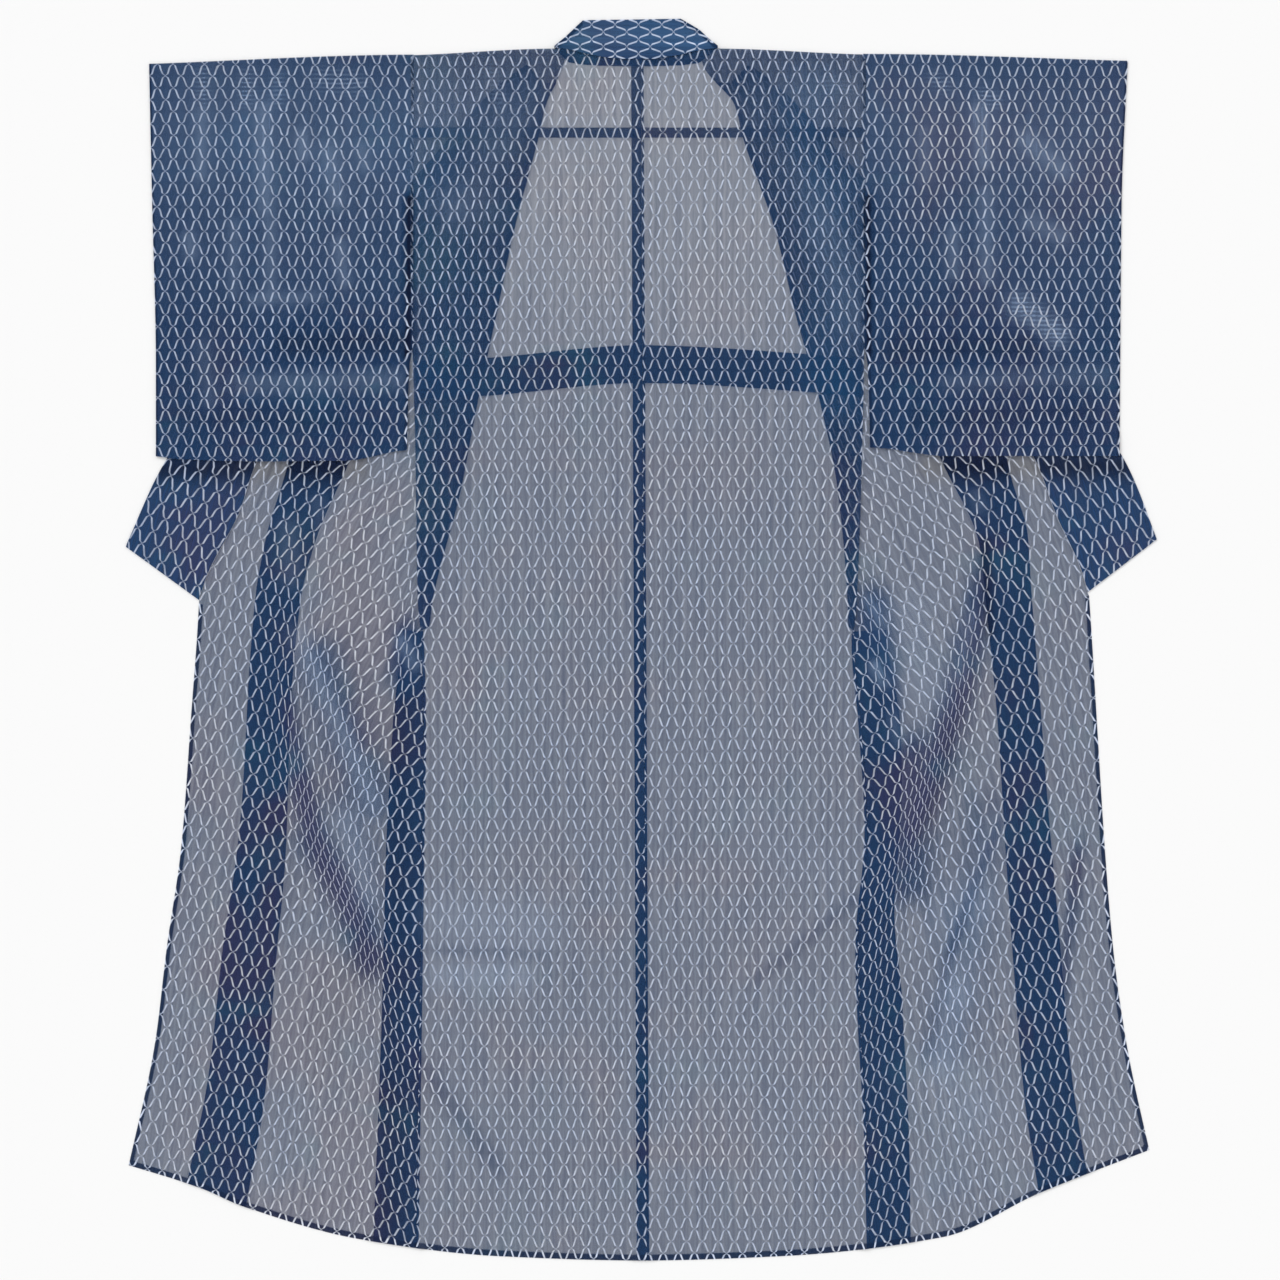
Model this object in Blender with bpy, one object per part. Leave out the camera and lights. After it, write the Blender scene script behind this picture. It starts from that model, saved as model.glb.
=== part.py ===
"""An unlined summer kimono of open indigo gauze, laid flat with its back upward.

The sleeves are spread, and each front is folded out round its side seam, so that its outer
face shows beside the back. Units are metres, +Z is up, +Y runs to the collar, and +X is the
wearer's right. The tables are in centimetres, and the origin is at the middle of the garment.

Every panel is a sheet of cloth cut between two edges. It lies on the floor or on the pieces
under it, and it is raised only as far as it must be to clear them.
"""

import bmesh
import bpy
import numpy as np
from mathutils import Vector
from mathutils.bvhtree import BVHTree

CM = 0.01
LEFT, RIGHT = 1, 2

WALL = 0.0010
COLLAR_WALL = 0.0020
TUCK_WALL = 0.0014
GAP = 0.0003
SEAM_HALF_GAP = 0.0002
CELL = 0.040
TURN = np.linspace(0, np.pi, 4)[1:-1]
TESTS_IN_A_CELL = 5
SETTLING_ROUNDS = 6
ROUNDS_TO_MEET = 16
SAME_ROW = 1e-9
HIGH_ABOVE = 1.0

# Columns are the level y, then x on the left and x on the right
SIDE_EDGE = (
    (76.2, -30.0, 29.2),
    (50.0, -30.0, 29.1),
    (24.6, -29.4, 28.7),
    (5.0, -29.1, 28.0),
    (0.0, -28.6, 27.6),
    (-11.0, -28.3, 28.5),
    (-25.0, -28.5, 29.3),
    (-40.0, -28.7, 28.1),
    (-66.5, -29.1, 29.3),
    (-80.0, -29.3, 29.6),
)
FOLD_LINE = (
    (76.8, -9.6, 7.4),
    (74.3, -10.3, 8.2),
    (69.6, -12.5, 12.2),
    (65.6, -13.4, 13.2),
    (53.4, -16.6, 17.4),
    (42.0, -19.0, 20.2),
    (31.3, -21.3, 23.2),
    (19.4, -23.6, 25.6),
    (4.6, -27.3, 26.9),
    (-2.0, -28.1, 27.1),
)
OKUMI_SEAM = (
    (60.0, -22.4, 21.5),
    (22.7, -38.5, 39.6),
    (12.5, -42.8, 44.2),
    (4.6, -44.7, 45.1),
    (-10.7, -46.0, 46.6),
    (-26.7, -46.5, 47.6),
    (-42.6, -47.9, 48.7),
    (-58.6, -49.2, 50.0),
    (-74.0, -51.8, 52.3),
)
COLLAR_SEAM = (
    (77.0, -9.6, 8.0),
    (69.5, -14.6, 13.9),
    (58.5, -23.0, 22.2),
    (40.5, -36.6, 37.0),
    (26.5, -47.9, 49.2),
    (22.7, -50.2, 51.5),
    (16.5, -52.3, 53.8),
    (9.0, -56.2, 57.2),
    (5.4, -57.5, 58.2),
)
FRONT_EDGE = (
    (9.0, -57.4, 57.9),
    (5.4, -57.5, 58.2),
    (-10.7, -58.6, 59.2),
    (-26.7, -59.8, 60.2),
    (-40.0, -61.7, 61.3),
    (-52.2, -63.2, 63.0),
    (-69.0, -66.8, 66.6),
)
COLLAR_OUTER_EDGE = (
    (77.5, -10.4, 9.4),
    (72.6, -18.0, 17.0),
    (62.2, -27.6, 26.8),
    (45.0, -42.0, 42.6),
    (31.0, -55.0, 56.6),
    (23.5, -61.7, 62.7),
    (12.3, -67.0, 67.3),
)
SLEEVE_CUFF_EDGE = (
    (75.5, -64.0, 63.2),
    (57.0, -63.6, 62.4),
    (35.4, -63.1, 62.2),
    (23.0, -63.1, 62.1),
)
SLEEVE_BODY_EDGE = (
    (76.5, -30.04, 29.25),
    (51.0, -30.05, 29.2),
    (36.0, -30.15, 29.4),
    (24.0, -30.5, 29.75),
)

# Columns are the level y on the collar's seam, then how much higher its outer edge is
COLLAR_RISE = (
    (76.0, 0.9),
    (69.5, 3.1),
    (58.5, 3.7),
    (26.5, 4.8),
    (16.5, 6.3),
    (5.4, 6.9),
)

# Columns are the level y, then the width on the left and on the right
OKUMI_ALLOWANCE = (
    (24.0, 7.5, 8.2),
    (16.3, 6.4, 6.3),
    (4.6, 5.5, 5.6),
    (-10.7, 5.3, 5.3),
    (-42.6, 6.6, 5.8),
    (-76.0, 7.4, 6.0),
)
SIDE_ALLOWANCE = (
    (0.0, 2.4, 4.2),
    (-11.0, 4.0, 5.1),
    (-30.0, 4.7, 4.2),
    (-48.0, 4.9, 5.6),
    (-80.0, 5.6, 5.4),
)

# Columns are x and the level y
HEM = (
    (-67.5, -68.0),
    (-57.1, -71.3),
    (-51.8, -73.6),
    (-36.5, -77.9),
    (-18.4, -80.1),
    (0.0, -80.65),
    (18.0, -80.1),
    (39.2, -77.6),
    (51.9, -71.8),
    (67.0, -65.9),
)
SHOULDER_AND_NECK = (
    (-68.0, 75.2),
    (-30.1, 76.0),
    (-11.2, 76.85),
    (-8.0, 76.7),
    (-2.5, 76.1),
    (1.8, 76.1),
    (6.8, 76.7),
    (9.8, 76.85),
    (29.2, 76.1),
    (68.0, 75.6),
)
SLEEVE_TOP = (
    (-64.0, 74.8),
    (-30.0, 76.0),
    (29.2, 76.1),
    (63.2, 75.2),
)
SLEEVE_BOTTOM = (
    (-63.3, 23.9),
    (-60.0, 23.5),
    (-50.2, 23.2),
    (-38.5, 23.3),
    (-30.0, 24.7),
    (29.7, 25.0),
    (39.7, 23.9),
    (62.3, 23.9),
)
WAIST_TUCK_TOP = (
    (-30.0, 36.2),
    (-21.0, 36.6),
    (0.0, 38.3),
    (21.0, 37.2),
    (30.0, 36.3),
)

# Columns are x, then the levels of the neck collar's seam, of its hidden edge and of its fold
COLLAR_AT_NECK = (
    (-11.3, 76.93, 76.93, 77.00),
    (-9.5, 76.75, 76.92, 78.65),
    (-7.6, 76.30, 76.20, 80.45),
    (-5.0, 75.75, 75.00, 80.50),
    (-2.5, 75.50, 74.60, 80.53),
    (0.0, 75.50, 74.60, 80.57),
    (1.8, 75.50, 74.60, 80.60),
    (5.1, 76.05, 75.40, 80.65),
    (7.5, 76.65, 76.90, 79.25),
    (9.9, 76.93, 76.93, 77.00),
)

NECK_TUCK_TOP = (
    (-30.0, 66.6),
    (0.0, 66.6),
    (30.0, 66.6),
)

# Columns are the level y and the centre seam's x
CENTRE_SEAM = (
    (76.0, -0.05),
    (24.6, 0.2),
    (-81.0, 0.7),
)

GARMENT_LENGTH = 156.0
WAIST_TUCK_DEPTH = 4.9
NECK_TUCK_DEPTH = 1.3
CENTRE_ALLOWANCE = 1.3
UNDER_THE_OTHER_SIDE = 0.3

# Where the rows of the body's panels fall, from the hem at 0 to the shoulder at 1
COLLAR_END_ROW, COLLAR_POINT_ROW, FOLD_TOP_ROW = 0.521, 0.886, 0.972
OKUMI_ALLOWANCE_TOP_ROW = 0.75

# Columns are x and y at one end, x and y at the other, the height and the half width
SOFT_FOLDS = (
    (-42.0, 0.0, -33.2, -20.3, 0.45, 5.0),
    (-45.4, -10.7, -34.4, -45.3, 0.40, 5.5),
    (44.0, 2.5, 33.9, -26.7, 0.50, 5.5),
    (45.6, -24.5, 38.2, -42.6, 0.35, 5.0),
    (-28.5, -55.8, -20.0, -66.5, 0.35, 5.0),
    (28.0, -34.6, 17.4, -42.6, 0.35, 5.0),
)

INDIGO_GAUZE = (0.035, 0.060, 0.115, 1.0)
DOUBLED_GAUZE = (0.020, 0.038, 0.085, 1.0)
CLOTH_ROUGHNESS = 0.85


def smooth(table, at, column=1):
    """A table's column read at a value of its first column, on a curve that never overshoots."""
    rows = np.array(sorted(table))
    x, y = rows[:, 0], rows[:, column]
    slope = np.diff(y) / np.diff(x)
    product = slope[:-1] * slope[1:]
    total = np.where(product > 0, slope[:-1] + slope[1:], 1.0)
    inner = np.where(product > 0, 2 * product / total, 0.0)
    tangent = np.concatenate([slope[:1], inner, slope[-1:]])
    at = np.clip(at, x[0], x[-1])
    k = np.clip(np.searchsorted(x, at) - 1, 0, len(x) - 2)
    step = x[k + 1] - x[k]
    t = (at - x[k]) / step
    start = (1 + 2 * t) * (1 - t) ** 2 * y[k] + t * (1 - t) ** 2 * step * tangent[k]
    end = t**2 * (3 - 2 * t) * y[k + 1] + t**2 * (t - 1) * step * tangent[k + 1]
    return start + end


def body_level(row, x):
    """The level of one row of the body's panels at x, between the hem and the shoulder."""
    return (1 - row) * smooth(HEM, x) + row * smooth(SHOULDER_AND_NECK, x)


def edge_of(table, side=1, shift=0.0):
    """A table's edge on one side, as a function that gives x for a level."""

    def x_at(level):
        return smooth(table, level, side) + shift

    return x_at


def row_edge(table, side=1, shift=0.0):
    """The same edge as a function that gives x for a row of the body's panels."""

    def x_at(row):
        x = smooth(table, 0.0, side)
        for _ in range(ROUNDS_TO_MEET):
            x = smooth(table, body_level(row, x), side)
        return x + shift

    return x_at


def curve_of(table, shift=0.0):
    """A table's second column as a function of its first."""

    def y_at(x):
        return smooth(table, x) + shift

    return y_at


def spaced(start, end, size):
    """Values from start to end, as near CELL apart as fits when the whole is that size."""
    steps = max(1, round((abs(end - start) * size) / (CELL / CM)))
    return np.linspace(start, end, steps + 1)


def body_rows():
    """Every row that the panels share, so that their seams meet point to point."""
    stops = (0.0, COLLAR_END_ROW, COLLAR_POINT_ROW, FOLD_TOP_ROW, 1.0)
    runs = [spaced(a, b, GARMENT_LENGTH)[:-1] for a, b in zip(stops, stops[1:])]
    return np.concatenate(runs + [[1.0]])


ROWS = body_rows()


def rows_between(first, last):
    return ROWS[(ROWS >= first - SAME_ROW) & (ROWS <= last + SAME_ROW)]


def body_sheet(rows, left_x, right_x, columns):
    """Points of a panel of the body, in metres, with its two edges as functions of a row."""
    share = np.linspace(0, 1, columns + 1)
    sheet = []
    for row in rows:
        x = (1 - share) * left_x(row) + share * right_x(row)
        sheet.append(np.stack([x, body_level(row, x)], axis=1))
    return np.array(sheet) * CM


def level_sheet(bottom, top, left, right, rows, columns):
    """Points of a panel between two level edges and two upright ones, each a function."""
    sheet = np.zeros((rows + 1, columns + 1, 2))
    for i, up in enumerate(np.linspace(0, 1, rows + 1)):
        for j, along in enumerate(np.linspace(0, 1, columns + 1)):
            x = y = 0.0
            for _ in range(ROUNDS_TO_MEET):
                y = (1 - up) * bottom(x) + up * top(x)
                x = (1 - along) * left(y) + along * right(y)
            sheet[i, j] = x, y
    return sheet * CM


def split_both_ways(corners):
    """The triangles of a cell cut along one diagonal, and then along the other."""
    a, b, c, d = corners
    return [(a, b, c), (a, c, d), (a, b, d), (b, c, d)]


def top_of(sheet, heights, wall):
    """A tree of a laid panel's upper face, which a ray from above meets at its highest."""
    rows, columns = heights.shape
    index = np.arange(rows * columns).reshape(rows, columns)
    points = np.dstack([sheet, heights + wall]).reshape(-1, 3)
    triangles = []
    for i in range(rows - 1):
        for j in range(columns - 1):
            cell = index[i, j], index[i, j + 1], index[i + 1, j + 1], index[i + 1, j]
            triangles += split_both_ways([int(corner) for corner in cell])
    return BVHTree.FromPolygons([tuple(p) for p in points], triangles)


def lay(sheet, below, lift=None):
    """The heights of a panel's underside: as low as they can be over the pieces below."""
    rows, columns = sheet.shape[:2]
    heights = np.zeros((rows, columns))
    if lift is not None:
        heights += lift
    down = Vector((0, 0, -1))
    steps = np.linspace(0, 1, TESTS_IN_A_CELL + 1)
    tests = []
    for i in range(rows - 1):
        for j in range(columns - 1):
            corners = sheet[i, j], sheet[i, j + 1], sheet[i + 1, j + 1], sheet[i + 1, j]
            for v in steps:
                for u in steps:
                    low = (1 - u) * corners[0] + u * corners[1]
                    high = (1 - u) * corners[3] + u * corners[2]
                    x, y = (1 - v) * low + v * high
                    above = Vector((x, y, HIGH_ABOVE))
                    hits = [tree.ray_cast(above, down)[0] for tree in below]
                    found = [hit.z for hit in hits if hit is not None]
                    if found:
                        tests.append((i, j, u, v, max(found) + GAP))
    for _ in range(SETTLING_ROUNDS):
        raised = heights.copy()
        for i, j, u, v, least in tests:
            z00, z10 = heights[i, j], heights[i, j + 1]
            z11, z01 = heights[i + 1, j + 1], heights[i + 1, j]
            if u >= v:
                one = z00 + u * (z10 - z00) + v * (z11 - z10)
            else:
                one = z00 + v * (z01 - z00) + u * (z11 - z01)
            if u + v <= 1:
                other = z00 + u * (z10 - z00) + v * (z01 - z00)
            else:
                other = z11 + (1 - u) * (z01 - z11) + (1 - v) * (z10 - z11)
            short = least - min(one, other)
            if short > 1e-7:
                cell = raised[i : i + 2, j : j + 2]
                cell[:] = np.maximum(cell, heights[i : i + 2, j : j + 2] + short)
        heights = raised
    return heights


def soft_fold_lift(sheet):
    """How far the soft folds lift each point of a panel, as rounded ridges with faded ends."""
    lift = np.zeros(sheet.shape[:2])
    for x0, y0, x1, y1, height, half_width in SOFT_FOLDS:
        start, end = np.array([x0, y0]) * CM, np.array([x1, y1]) * CM
        along = end - start
        share = np.clip(((sheet - start) @ along) / (along @ along), 0, 1)
        away = np.linalg.norm(sheet - start - share[..., None] * along, axis=2)
        near = np.clip(1 - away / (half_width * CM), 0, 1)
        lift = np.maximum(lift, height * CM * near**2 * (3 - 2 * near))
    return lift


def material(name, colour):
    made = bpy.data.materials.new(name)
    made.use_nodes = True
    shader = made.node_tree.nodes["Principled BSDF"]
    shader.inputs["Base Color"].default_value = colour
    shader.inputs["Roughness"].default_value = CLOTH_ROUGHNESS
    shader.inputs["Metallic"].default_value = 0.0
    made.diffuse_color = colour
    return made


def cloth(name, points, colour, wall=WALL, kept=None):
    """A piece of cloth from the grid of its middle surface, with kept marking the cells it has."""
    rows, columns = points.shape[:2]
    mesh = bmesh.new()
    bmesh.ops.create_grid(mesh, x_segments=columns - 1, y_segments=rows - 1, size=1.0)
    mesh.verts.index_update()
    for vertex in mesh.verts:
        vertex.co = points[vertex.index // columns, vertex.index % columns]
    if kept is not None:
        firsts = {face: min(v.index for v in face.verts) for face in mesh.faces}
        dropped = [f for f, k in firsts.items() if not kept(k // columns, k % columns)]
        bmesh.ops.delete(mesh, geom=dropped, context="FACES")
    data = bpy.data.meshes.new(name)
    mesh.to_mesh(data)
    mesh.free()
    data.materials.append(material(name, colour))
    piece = bpy.data.objects.new(name, data)
    bpy.context.collection.objects.link(piece)
    thickness = piece.modifiers.new("Wall", "SOLIDIFY")
    thickness.thickness = wall
    thickness.offset = 0.0
    return piece


def laid_cloth(name, sheet, heights, colour, wall=WALL):
    points = np.dstack([sheet, heights + wall / 2])
    return cloth(name, points, colour, wall)


def side_name(base, side):
    return f"{base}_{'left' if side == LEFT else 'right'}"


def clear_scene():
    for item in list(bpy.data.objects):
        bpy.data.objects.remove(item, do_unlink=True)


def sign(side):
    """The direction away from the centre: -1 on the left and 1 on the right."""
    return -1 if side == LEFT else 1


def half_gap(side):
    return sign(side) * SEAM_HALF_GAP / CM


def allowance_strip(side, seam, widths, rows, name):
    """A seam allowance pressed flat on the floor, from just past its seam outward."""
    near = row_edge(seam, side, -sign(side) * UNDER_THE_OTHER_SIDE)

    def far(row):
        x = row_edge(seam, side)(row)
        return x + sign(side) * smooth(widths, body_level(row, x), side)

    sheet = body_sheet(rows, near, far, 2)
    heights = lay(sheet, [])
    laid_cloth(side_name(name, side), sheet, heights, DOUBLED_GAUZE)
    return top_of(sheet, heights, WALL)


def front_under_leaf(side, below):
    """The front body's outer leaf, its right side up: below the fold line it is all of it."""
    rows = rows_between(0.0, FOLD_TOP_ROW)
    outward = half_gap(side)

    def inner(row):
        if row < COLLAR_END_ROW - SAME_ROW:
            return row_edge(SIDE_EDGE, side, outward)(row)
        return row_edge(FOLD_LINE, side)(row)

    def outer(row):
        seam = OKUMI_SEAM if row < COLLAR_POINT_ROW - SAME_ROW else COLLAR_SEAM
        return row_edge(seam, side, -outward)(row)

    sheet = body_sheet(rows, inner, outer, 5)
    return sheet, lay(sheet, below, soft_fold_lift(sheet))


def front_upper_leaf(side, below):
    """The part of the front body that stays under the back, from the armhole to the fold line."""
    rows = rows_between(COLLAR_END_ROW, 1.0)
    outer = row_edge(SIDE_EDGE, side, -half_gap(side))
    sheet = body_sheet(rows, outer, row_edge(FOLD_LINE, side), 4)
    return sheet, lay(sheet, below)


def front(side, under, over):
    """Both leaves of a front body as one sheet, turned over along the fold line."""
    (low_sheet, low_heights), (high_sheet, high_heights) = under, over
    rows = len(ROWS)
    first_high = rows - len(high_sheet)
    last_low = len(low_sheet) - 1
    low = np.dstack([low_sheet, low_heights + WALL / 2])
    high = np.dstack([high_sheet, high_heights + WALL / 2])
    columns = high.shape[1] + len(TURN) + low.shape[1]
    points = np.zeros((rows, columns, 3))
    for k in range(rows):
        below = low[min(k, last_low)]
        above = high[max(k - first_high, 0)]
        radius = (above[-1][2] - below[0][2]) / 2
        middle = (above[-1] + below[0]) / 2
        turn = [
            middle + np.array([-sign(side) * np.sin(a) * radius, 0, np.cos(a) * radius])
            for a in TURN
        ]
        points[k] = np.concatenate([above, turn, below])
    turn_start, turn_end = high.shape[1] - 1, high.shape[1] + len(TURN)

    def kept(row, column):
        if column < turn_start:
            return row >= first_high
        if column < turn_end:
            return first_high <= row < last_low
        return row < last_low

    cloth(side_name("front", side), points, INDIGO_GAUZE, kept=kept)


def okumi(side, below):
    """The overlap panel, between its seam to the front body and the collar or the front edge."""
    rows = ROWS[ROWS < COLLAR_POINT_ROW - SAME_ROW]
    outward = half_gap(side)

    def outer(row):
        if row < COLLAR_END_ROW - SAME_ROW:
            return row_edge(FRONT_EDGE, side)(row)
        return row_edge(COLLAR_SEAM, side, -outward)(row)

    sheet = body_sheet(rows, row_edge(OKUMI_SEAM, side, outward), outer, 4)
    heights = lay(sheet, below, soft_fold_lift(sheet))
    laid_cloth(side_name("okumi", side), sheet, heights, INDIGO_GAUZE)
    return top_of(sheet, heights, WALL)


def collar(side):
    """One end of the collar band, doubled, from the neck point to its squared end."""
    share = np.linspace(0, 1, 4)[:, None]
    sheet = []
    for row in rows_between(COLLAR_END_ROW, FOLD_TOP_ROW):
        x = row_edge(COLLAR_SEAM, side, half_gap(side))(row)
        y = body_level(row, x)
        outer_y = y + smooth(COLLAR_RISE, y)
        outer = np.array([smooth(COLLAR_OUTER_EDGE, outer_y, side), outer_y])
        sheet.append((1 - share) * np.array([x, y]) + share * outer)
    sheet = np.array(sheet) * CM
    heights = lay(sheet, [])
    laid_cloth(side_name("collar", side), sheet, heights, DOUBLED_GAUZE, COLLAR_WALL)
    return top_of(sheet, heights, COLLAR_WALL)


def centre_allowance():
    """The centre back seam's allowance, pressed to the left from the hem to the collar."""
    left = row_edge(CENTRE_SEAM, shift=-CENTRE_ALLOWANCE)
    right = row_edge(CENTRE_SEAM, shift=UNDER_THE_OTHER_SIDE)
    sheet = body_sheet(ROWS[:-1], left, right, 1)
    heights = lay(sheet, [])
    laid_cloth("centre_seam_allowance", sheet, heights, DOUBLED_GAUZE)
    return top_of(sheet, heights, WALL)


def tuck(side, name, bottom, top, rows, below):
    """A fold of doubled cloth sewn across half of the back, under it."""
    outer = edge_of(SIDE_EDGE, side, -sign(side) * UNDER_THE_OTHER_SIDE)
    inner = edge_of(CENTRE_SEAM, shift=half_gap(side))
    sheet = level_sheet(bottom, top, outer, inner, rows, 7)
    heights = lay(sheet, below)
    laid_cloth(side_name(name, side), sheet, heights, DOUBLED_GAUZE, TUCK_WALL)
    return top_of(sheet, heights, TUCK_WALL)


def back(side, below):
    outer = row_edge(SIDE_EDGE, side, -half_gap(side))
    inner = row_edge(CENTRE_SEAM, shift=half_gap(side))
    sheet = body_sheet(ROWS, outer, inner, 8)
    heights = lay(sheet, below, soft_fold_lift(sheet))
    laid_cloth(side_name("back", side), sheet, heights, INDIGO_GAUZE)
    return top_of(sheet, heights, WALL)


def sleeve(side, below):
    """A sleeve as one strip turned over at the shoulder: its front leaf lies under its back."""
    cuff, body = edge_of(SLEEVE_CUFF_EDGE, side), edge_of(SLEEVE_BODY_EDGE, side)
    sheet = level_sheet(curve_of(SLEEVE_BOTTOM), curve_of(SLEEVE_TOP), cuff, body, 13, 8)
    low = np.dstack([sheet, lay(sheet, below) + WALL / 2])
    high = low + np.array([0, 0, WALL + GAP])
    radius = (WALL + GAP) / 2
    turn = [
        low[-1] + np.array([0, np.sin(a) * radius, radius - np.cos(a) * radius])
        for a in TURN
    ]
    points = np.concatenate([low, turn, high[::-1]])
    cloth(side_name("sleeve", side), points, INDIGO_GAUZE)


def neck_leaf(seam_column):
    """One leaf of the neck collar, from the given lower edge up to the fold."""
    table = np.array(COLLAR_AT_NECK)
    share = np.linspace(0, 1, 3)[:, None]
    y = (1 - share) * table[:, seam_column] + share * table[:, 3]
    return np.dstack([np.broadcast_to(table[:, 0], y.shape), y]) * CM


def collar_at_neck(rear_heights, below):
    """The collar behind the neck, folded in half along its upper edge over the back's edge."""
    rear = np.dstack([neck_leaf(2), rear_heights + WALL / 2])
    sheet = neck_leaf(1)
    face = np.dstack([sheet, lay(sheet, below) + WALL / 2])
    middle, radius = (rear[-1] + face[-1]) / 2, (face[-1, :, 2] - rear[-1, :, 2]) / 2
    turn = [
        middle + np.stack([0 * radius, np.sin(a) * radius, -np.cos(a) * radius], axis=1)
        for a in TURN
    ]
    cloth("collar_neck", np.concatenate([rear, turn, face[::-1]]), DOUBLED_GAUZE)


def build_side(side, centre_tree, neck_tree):
    """All the pieces of one half of the garment, from the floor up. Returns its back's tree."""
    side_rows = ROWS[ROWS < COLLAR_END_ROW - SAME_ROW]
    side_tree = allowance_strip(side, SIDE_EDGE, SIDE_ALLOWANCE, side_rows, "side_allowance")
    okumi_rows = rows_between(0.0, OKUMI_ALLOWANCE_TOP_ROW)
    strip_tree = allowance_strip(side, OKUMI_SEAM, OKUMI_ALLOWANCE, okumi_rows, "okumi_allowance")
    under = front_under_leaf(side, [side_tree, strip_tree])
    under_tree = top_of(*under, WALL)
    okumi_tree = okumi(side, [strip_tree])
    collar_tree = collar(side)
    over = front_upper_leaf(side, [under_tree, okumi_tree, collar_tree, neck_tree])
    over_tree = top_of(*over, WALL)
    front(side, under, over)
    sleeve(side, [strip_tree, under_tree, okumi_tree, collar_tree])
    waist = curve_of(WAIST_TUCK_TOP, -WAIST_TUCK_DEPTH), curve_of(WAIST_TUCK_TOP)
    neck = curve_of(NECK_TUCK_TOP, -NECK_TUCK_DEPTH), curve_of(NECK_TUCK_TOP)
    tucks = [
        tuck(side, "waist_tuck", *waist, 2, [over_tree, centre_tree]),
        tuck(side, "neck_tuck", *neck, 1, [over_tree, centre_tree]),
    ]
    return back(side, [side_tree, under_tree, over_tree, centre_tree, neck_tree] + tucks)


def build():
    clear_scene()
    centre_tree = centre_allowance()
    rear_heights = lay(neck_leaf(2), [centre_tree])
    neck_tree = top_of(neck_leaf(2), rear_heights, WALL)
    backs = [build_side(side, centre_tree, neck_tree) for side in (LEFT, RIGHT)]
    collar_at_neck(rear_heights, backs)


build()
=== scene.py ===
"""Dresses the frame of a kimono that lies flat, back upward, in sheer indigo gauze."""

import bmesh
import bpy
import numpy as np
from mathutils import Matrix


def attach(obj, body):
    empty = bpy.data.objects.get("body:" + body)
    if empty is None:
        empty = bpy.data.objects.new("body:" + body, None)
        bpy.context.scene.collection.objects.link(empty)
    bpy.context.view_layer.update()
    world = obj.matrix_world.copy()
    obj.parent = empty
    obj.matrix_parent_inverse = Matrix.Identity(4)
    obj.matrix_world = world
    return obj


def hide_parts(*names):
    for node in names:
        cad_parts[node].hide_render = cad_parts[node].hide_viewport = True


bl_info = {
    "name": "Gauze kimono laid flat",
    "version": (1, 0, 0),
    "blender": (4, 5, 0),
    "location": "3D View > Sidebar > Kimono",
    "description": "Lays a gauze kimono's panels on its frame, piece by piece, and sets its stage",
    "category": "Object",
}

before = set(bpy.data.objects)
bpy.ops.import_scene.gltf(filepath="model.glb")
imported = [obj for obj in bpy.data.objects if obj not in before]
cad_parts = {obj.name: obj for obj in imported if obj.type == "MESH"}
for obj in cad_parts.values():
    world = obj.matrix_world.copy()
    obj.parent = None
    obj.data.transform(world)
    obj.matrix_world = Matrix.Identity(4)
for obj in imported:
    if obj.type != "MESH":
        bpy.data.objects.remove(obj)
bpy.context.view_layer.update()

CM = 0.01
LEFT, RIGHT = 1, 2
SIDES = (LEFT, RIGHT)

# In metres: the room that a layer takes, its gaps to the next layer and at a seam, and the
# thickness of the small doubled pieces' shells
WALL, COLLAR_WALL, TUCK_WALL = 0.0010, 0.0020, 0.0014
GAP = 0.0003
SEAM_HALF_GAP = 0.0002
TUCK_THICKNESS = TUCK_WALL * 0.6
NECK_THICKNESS = WALL * 0.7

# The angles of the points where cloth turns over, the rounds in which curves are brought to
# meet, and how near to each other two rows count as one
TURN = np.linspace(0, np.pi, 5)[1:-1]
ROUNDS_TO_MEET = 16
SAME_ROW = 1e-9

# Columns are the level y, then x on the left and x on the right, in centimetres
SIDE_EDGE = (
    (76.2, -30, 29.2), (50, -30, 29.1), (24.6, -29.4, 28.7), (5, -29.1, 28), (0, -28.6, 27.6),
    (-11, -28.3, 28.5), (-25, -28.5, 29.3), (-40, -28.7, 28.1), (-66.5, -29.1, 29.3),
    (-80, -29.3, 29.6),
)
FOLD_LINE = (
    (76.8, -9.6, 7.4), (74.3, -10.3, 8.2), (69.6, -12.5, 12.2), (65.6, -13.4, 13.2),
    (53.4, -16.6, 17.4), (42, -19, 20.2), (31.3, -21.3, 23.2), (19.4, -23.6, 25.6),
    (4.6, -27.3, 26.9), (-2, -28.1, 27.1),
)
OKUMI_SEAM = (
    (60, -22.4, 21.5), (22.7, -38.5, 39.6), (12.5, -42.8, 44.2), (4.6, -44.7, 45.1),
    (-10.7, -46, 46.6), (-26.7, -46.5, 47.6), (-42.6, -47.9, 48.7), (-58.6, -49.2, 50),
    (-74, -51.8, 52.3),
)
COLLAR_SEAM = (
    (77, -9.6, 8), (69.5, -14.6, 13.9), (58.5, -23, 22.2), (40.5, -36.6, 37), (26.5, -47.9, 49.2),
    (22.7, -50.2, 51.5), (16.5, -52.3, 53.8), (9, -56.2, 57.2), (5.4, -57.5, 58.2),
)
FRONT_EDGE = (
    (9, -57.4, 57.9), (5.4, -57.5, 58.2), (-10.7, -58.6, 59.2), (-26.7, -59.8, 60.2),
    (-40, -61.7, 61.3), (-52.2, -63.2, 63), (-69, -66.8, 66.6),
)
COLLAR_OUTER_EDGE = (
    (77.5, -10.4, 9.4), (72.6, -18, 17), (62.2, -27.6, 26.8), (45, -42, 42.6), (31, -55, 56.6),
    (23.5, -61.7, 62.7), (12.3, -67, 67.3),
)
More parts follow.
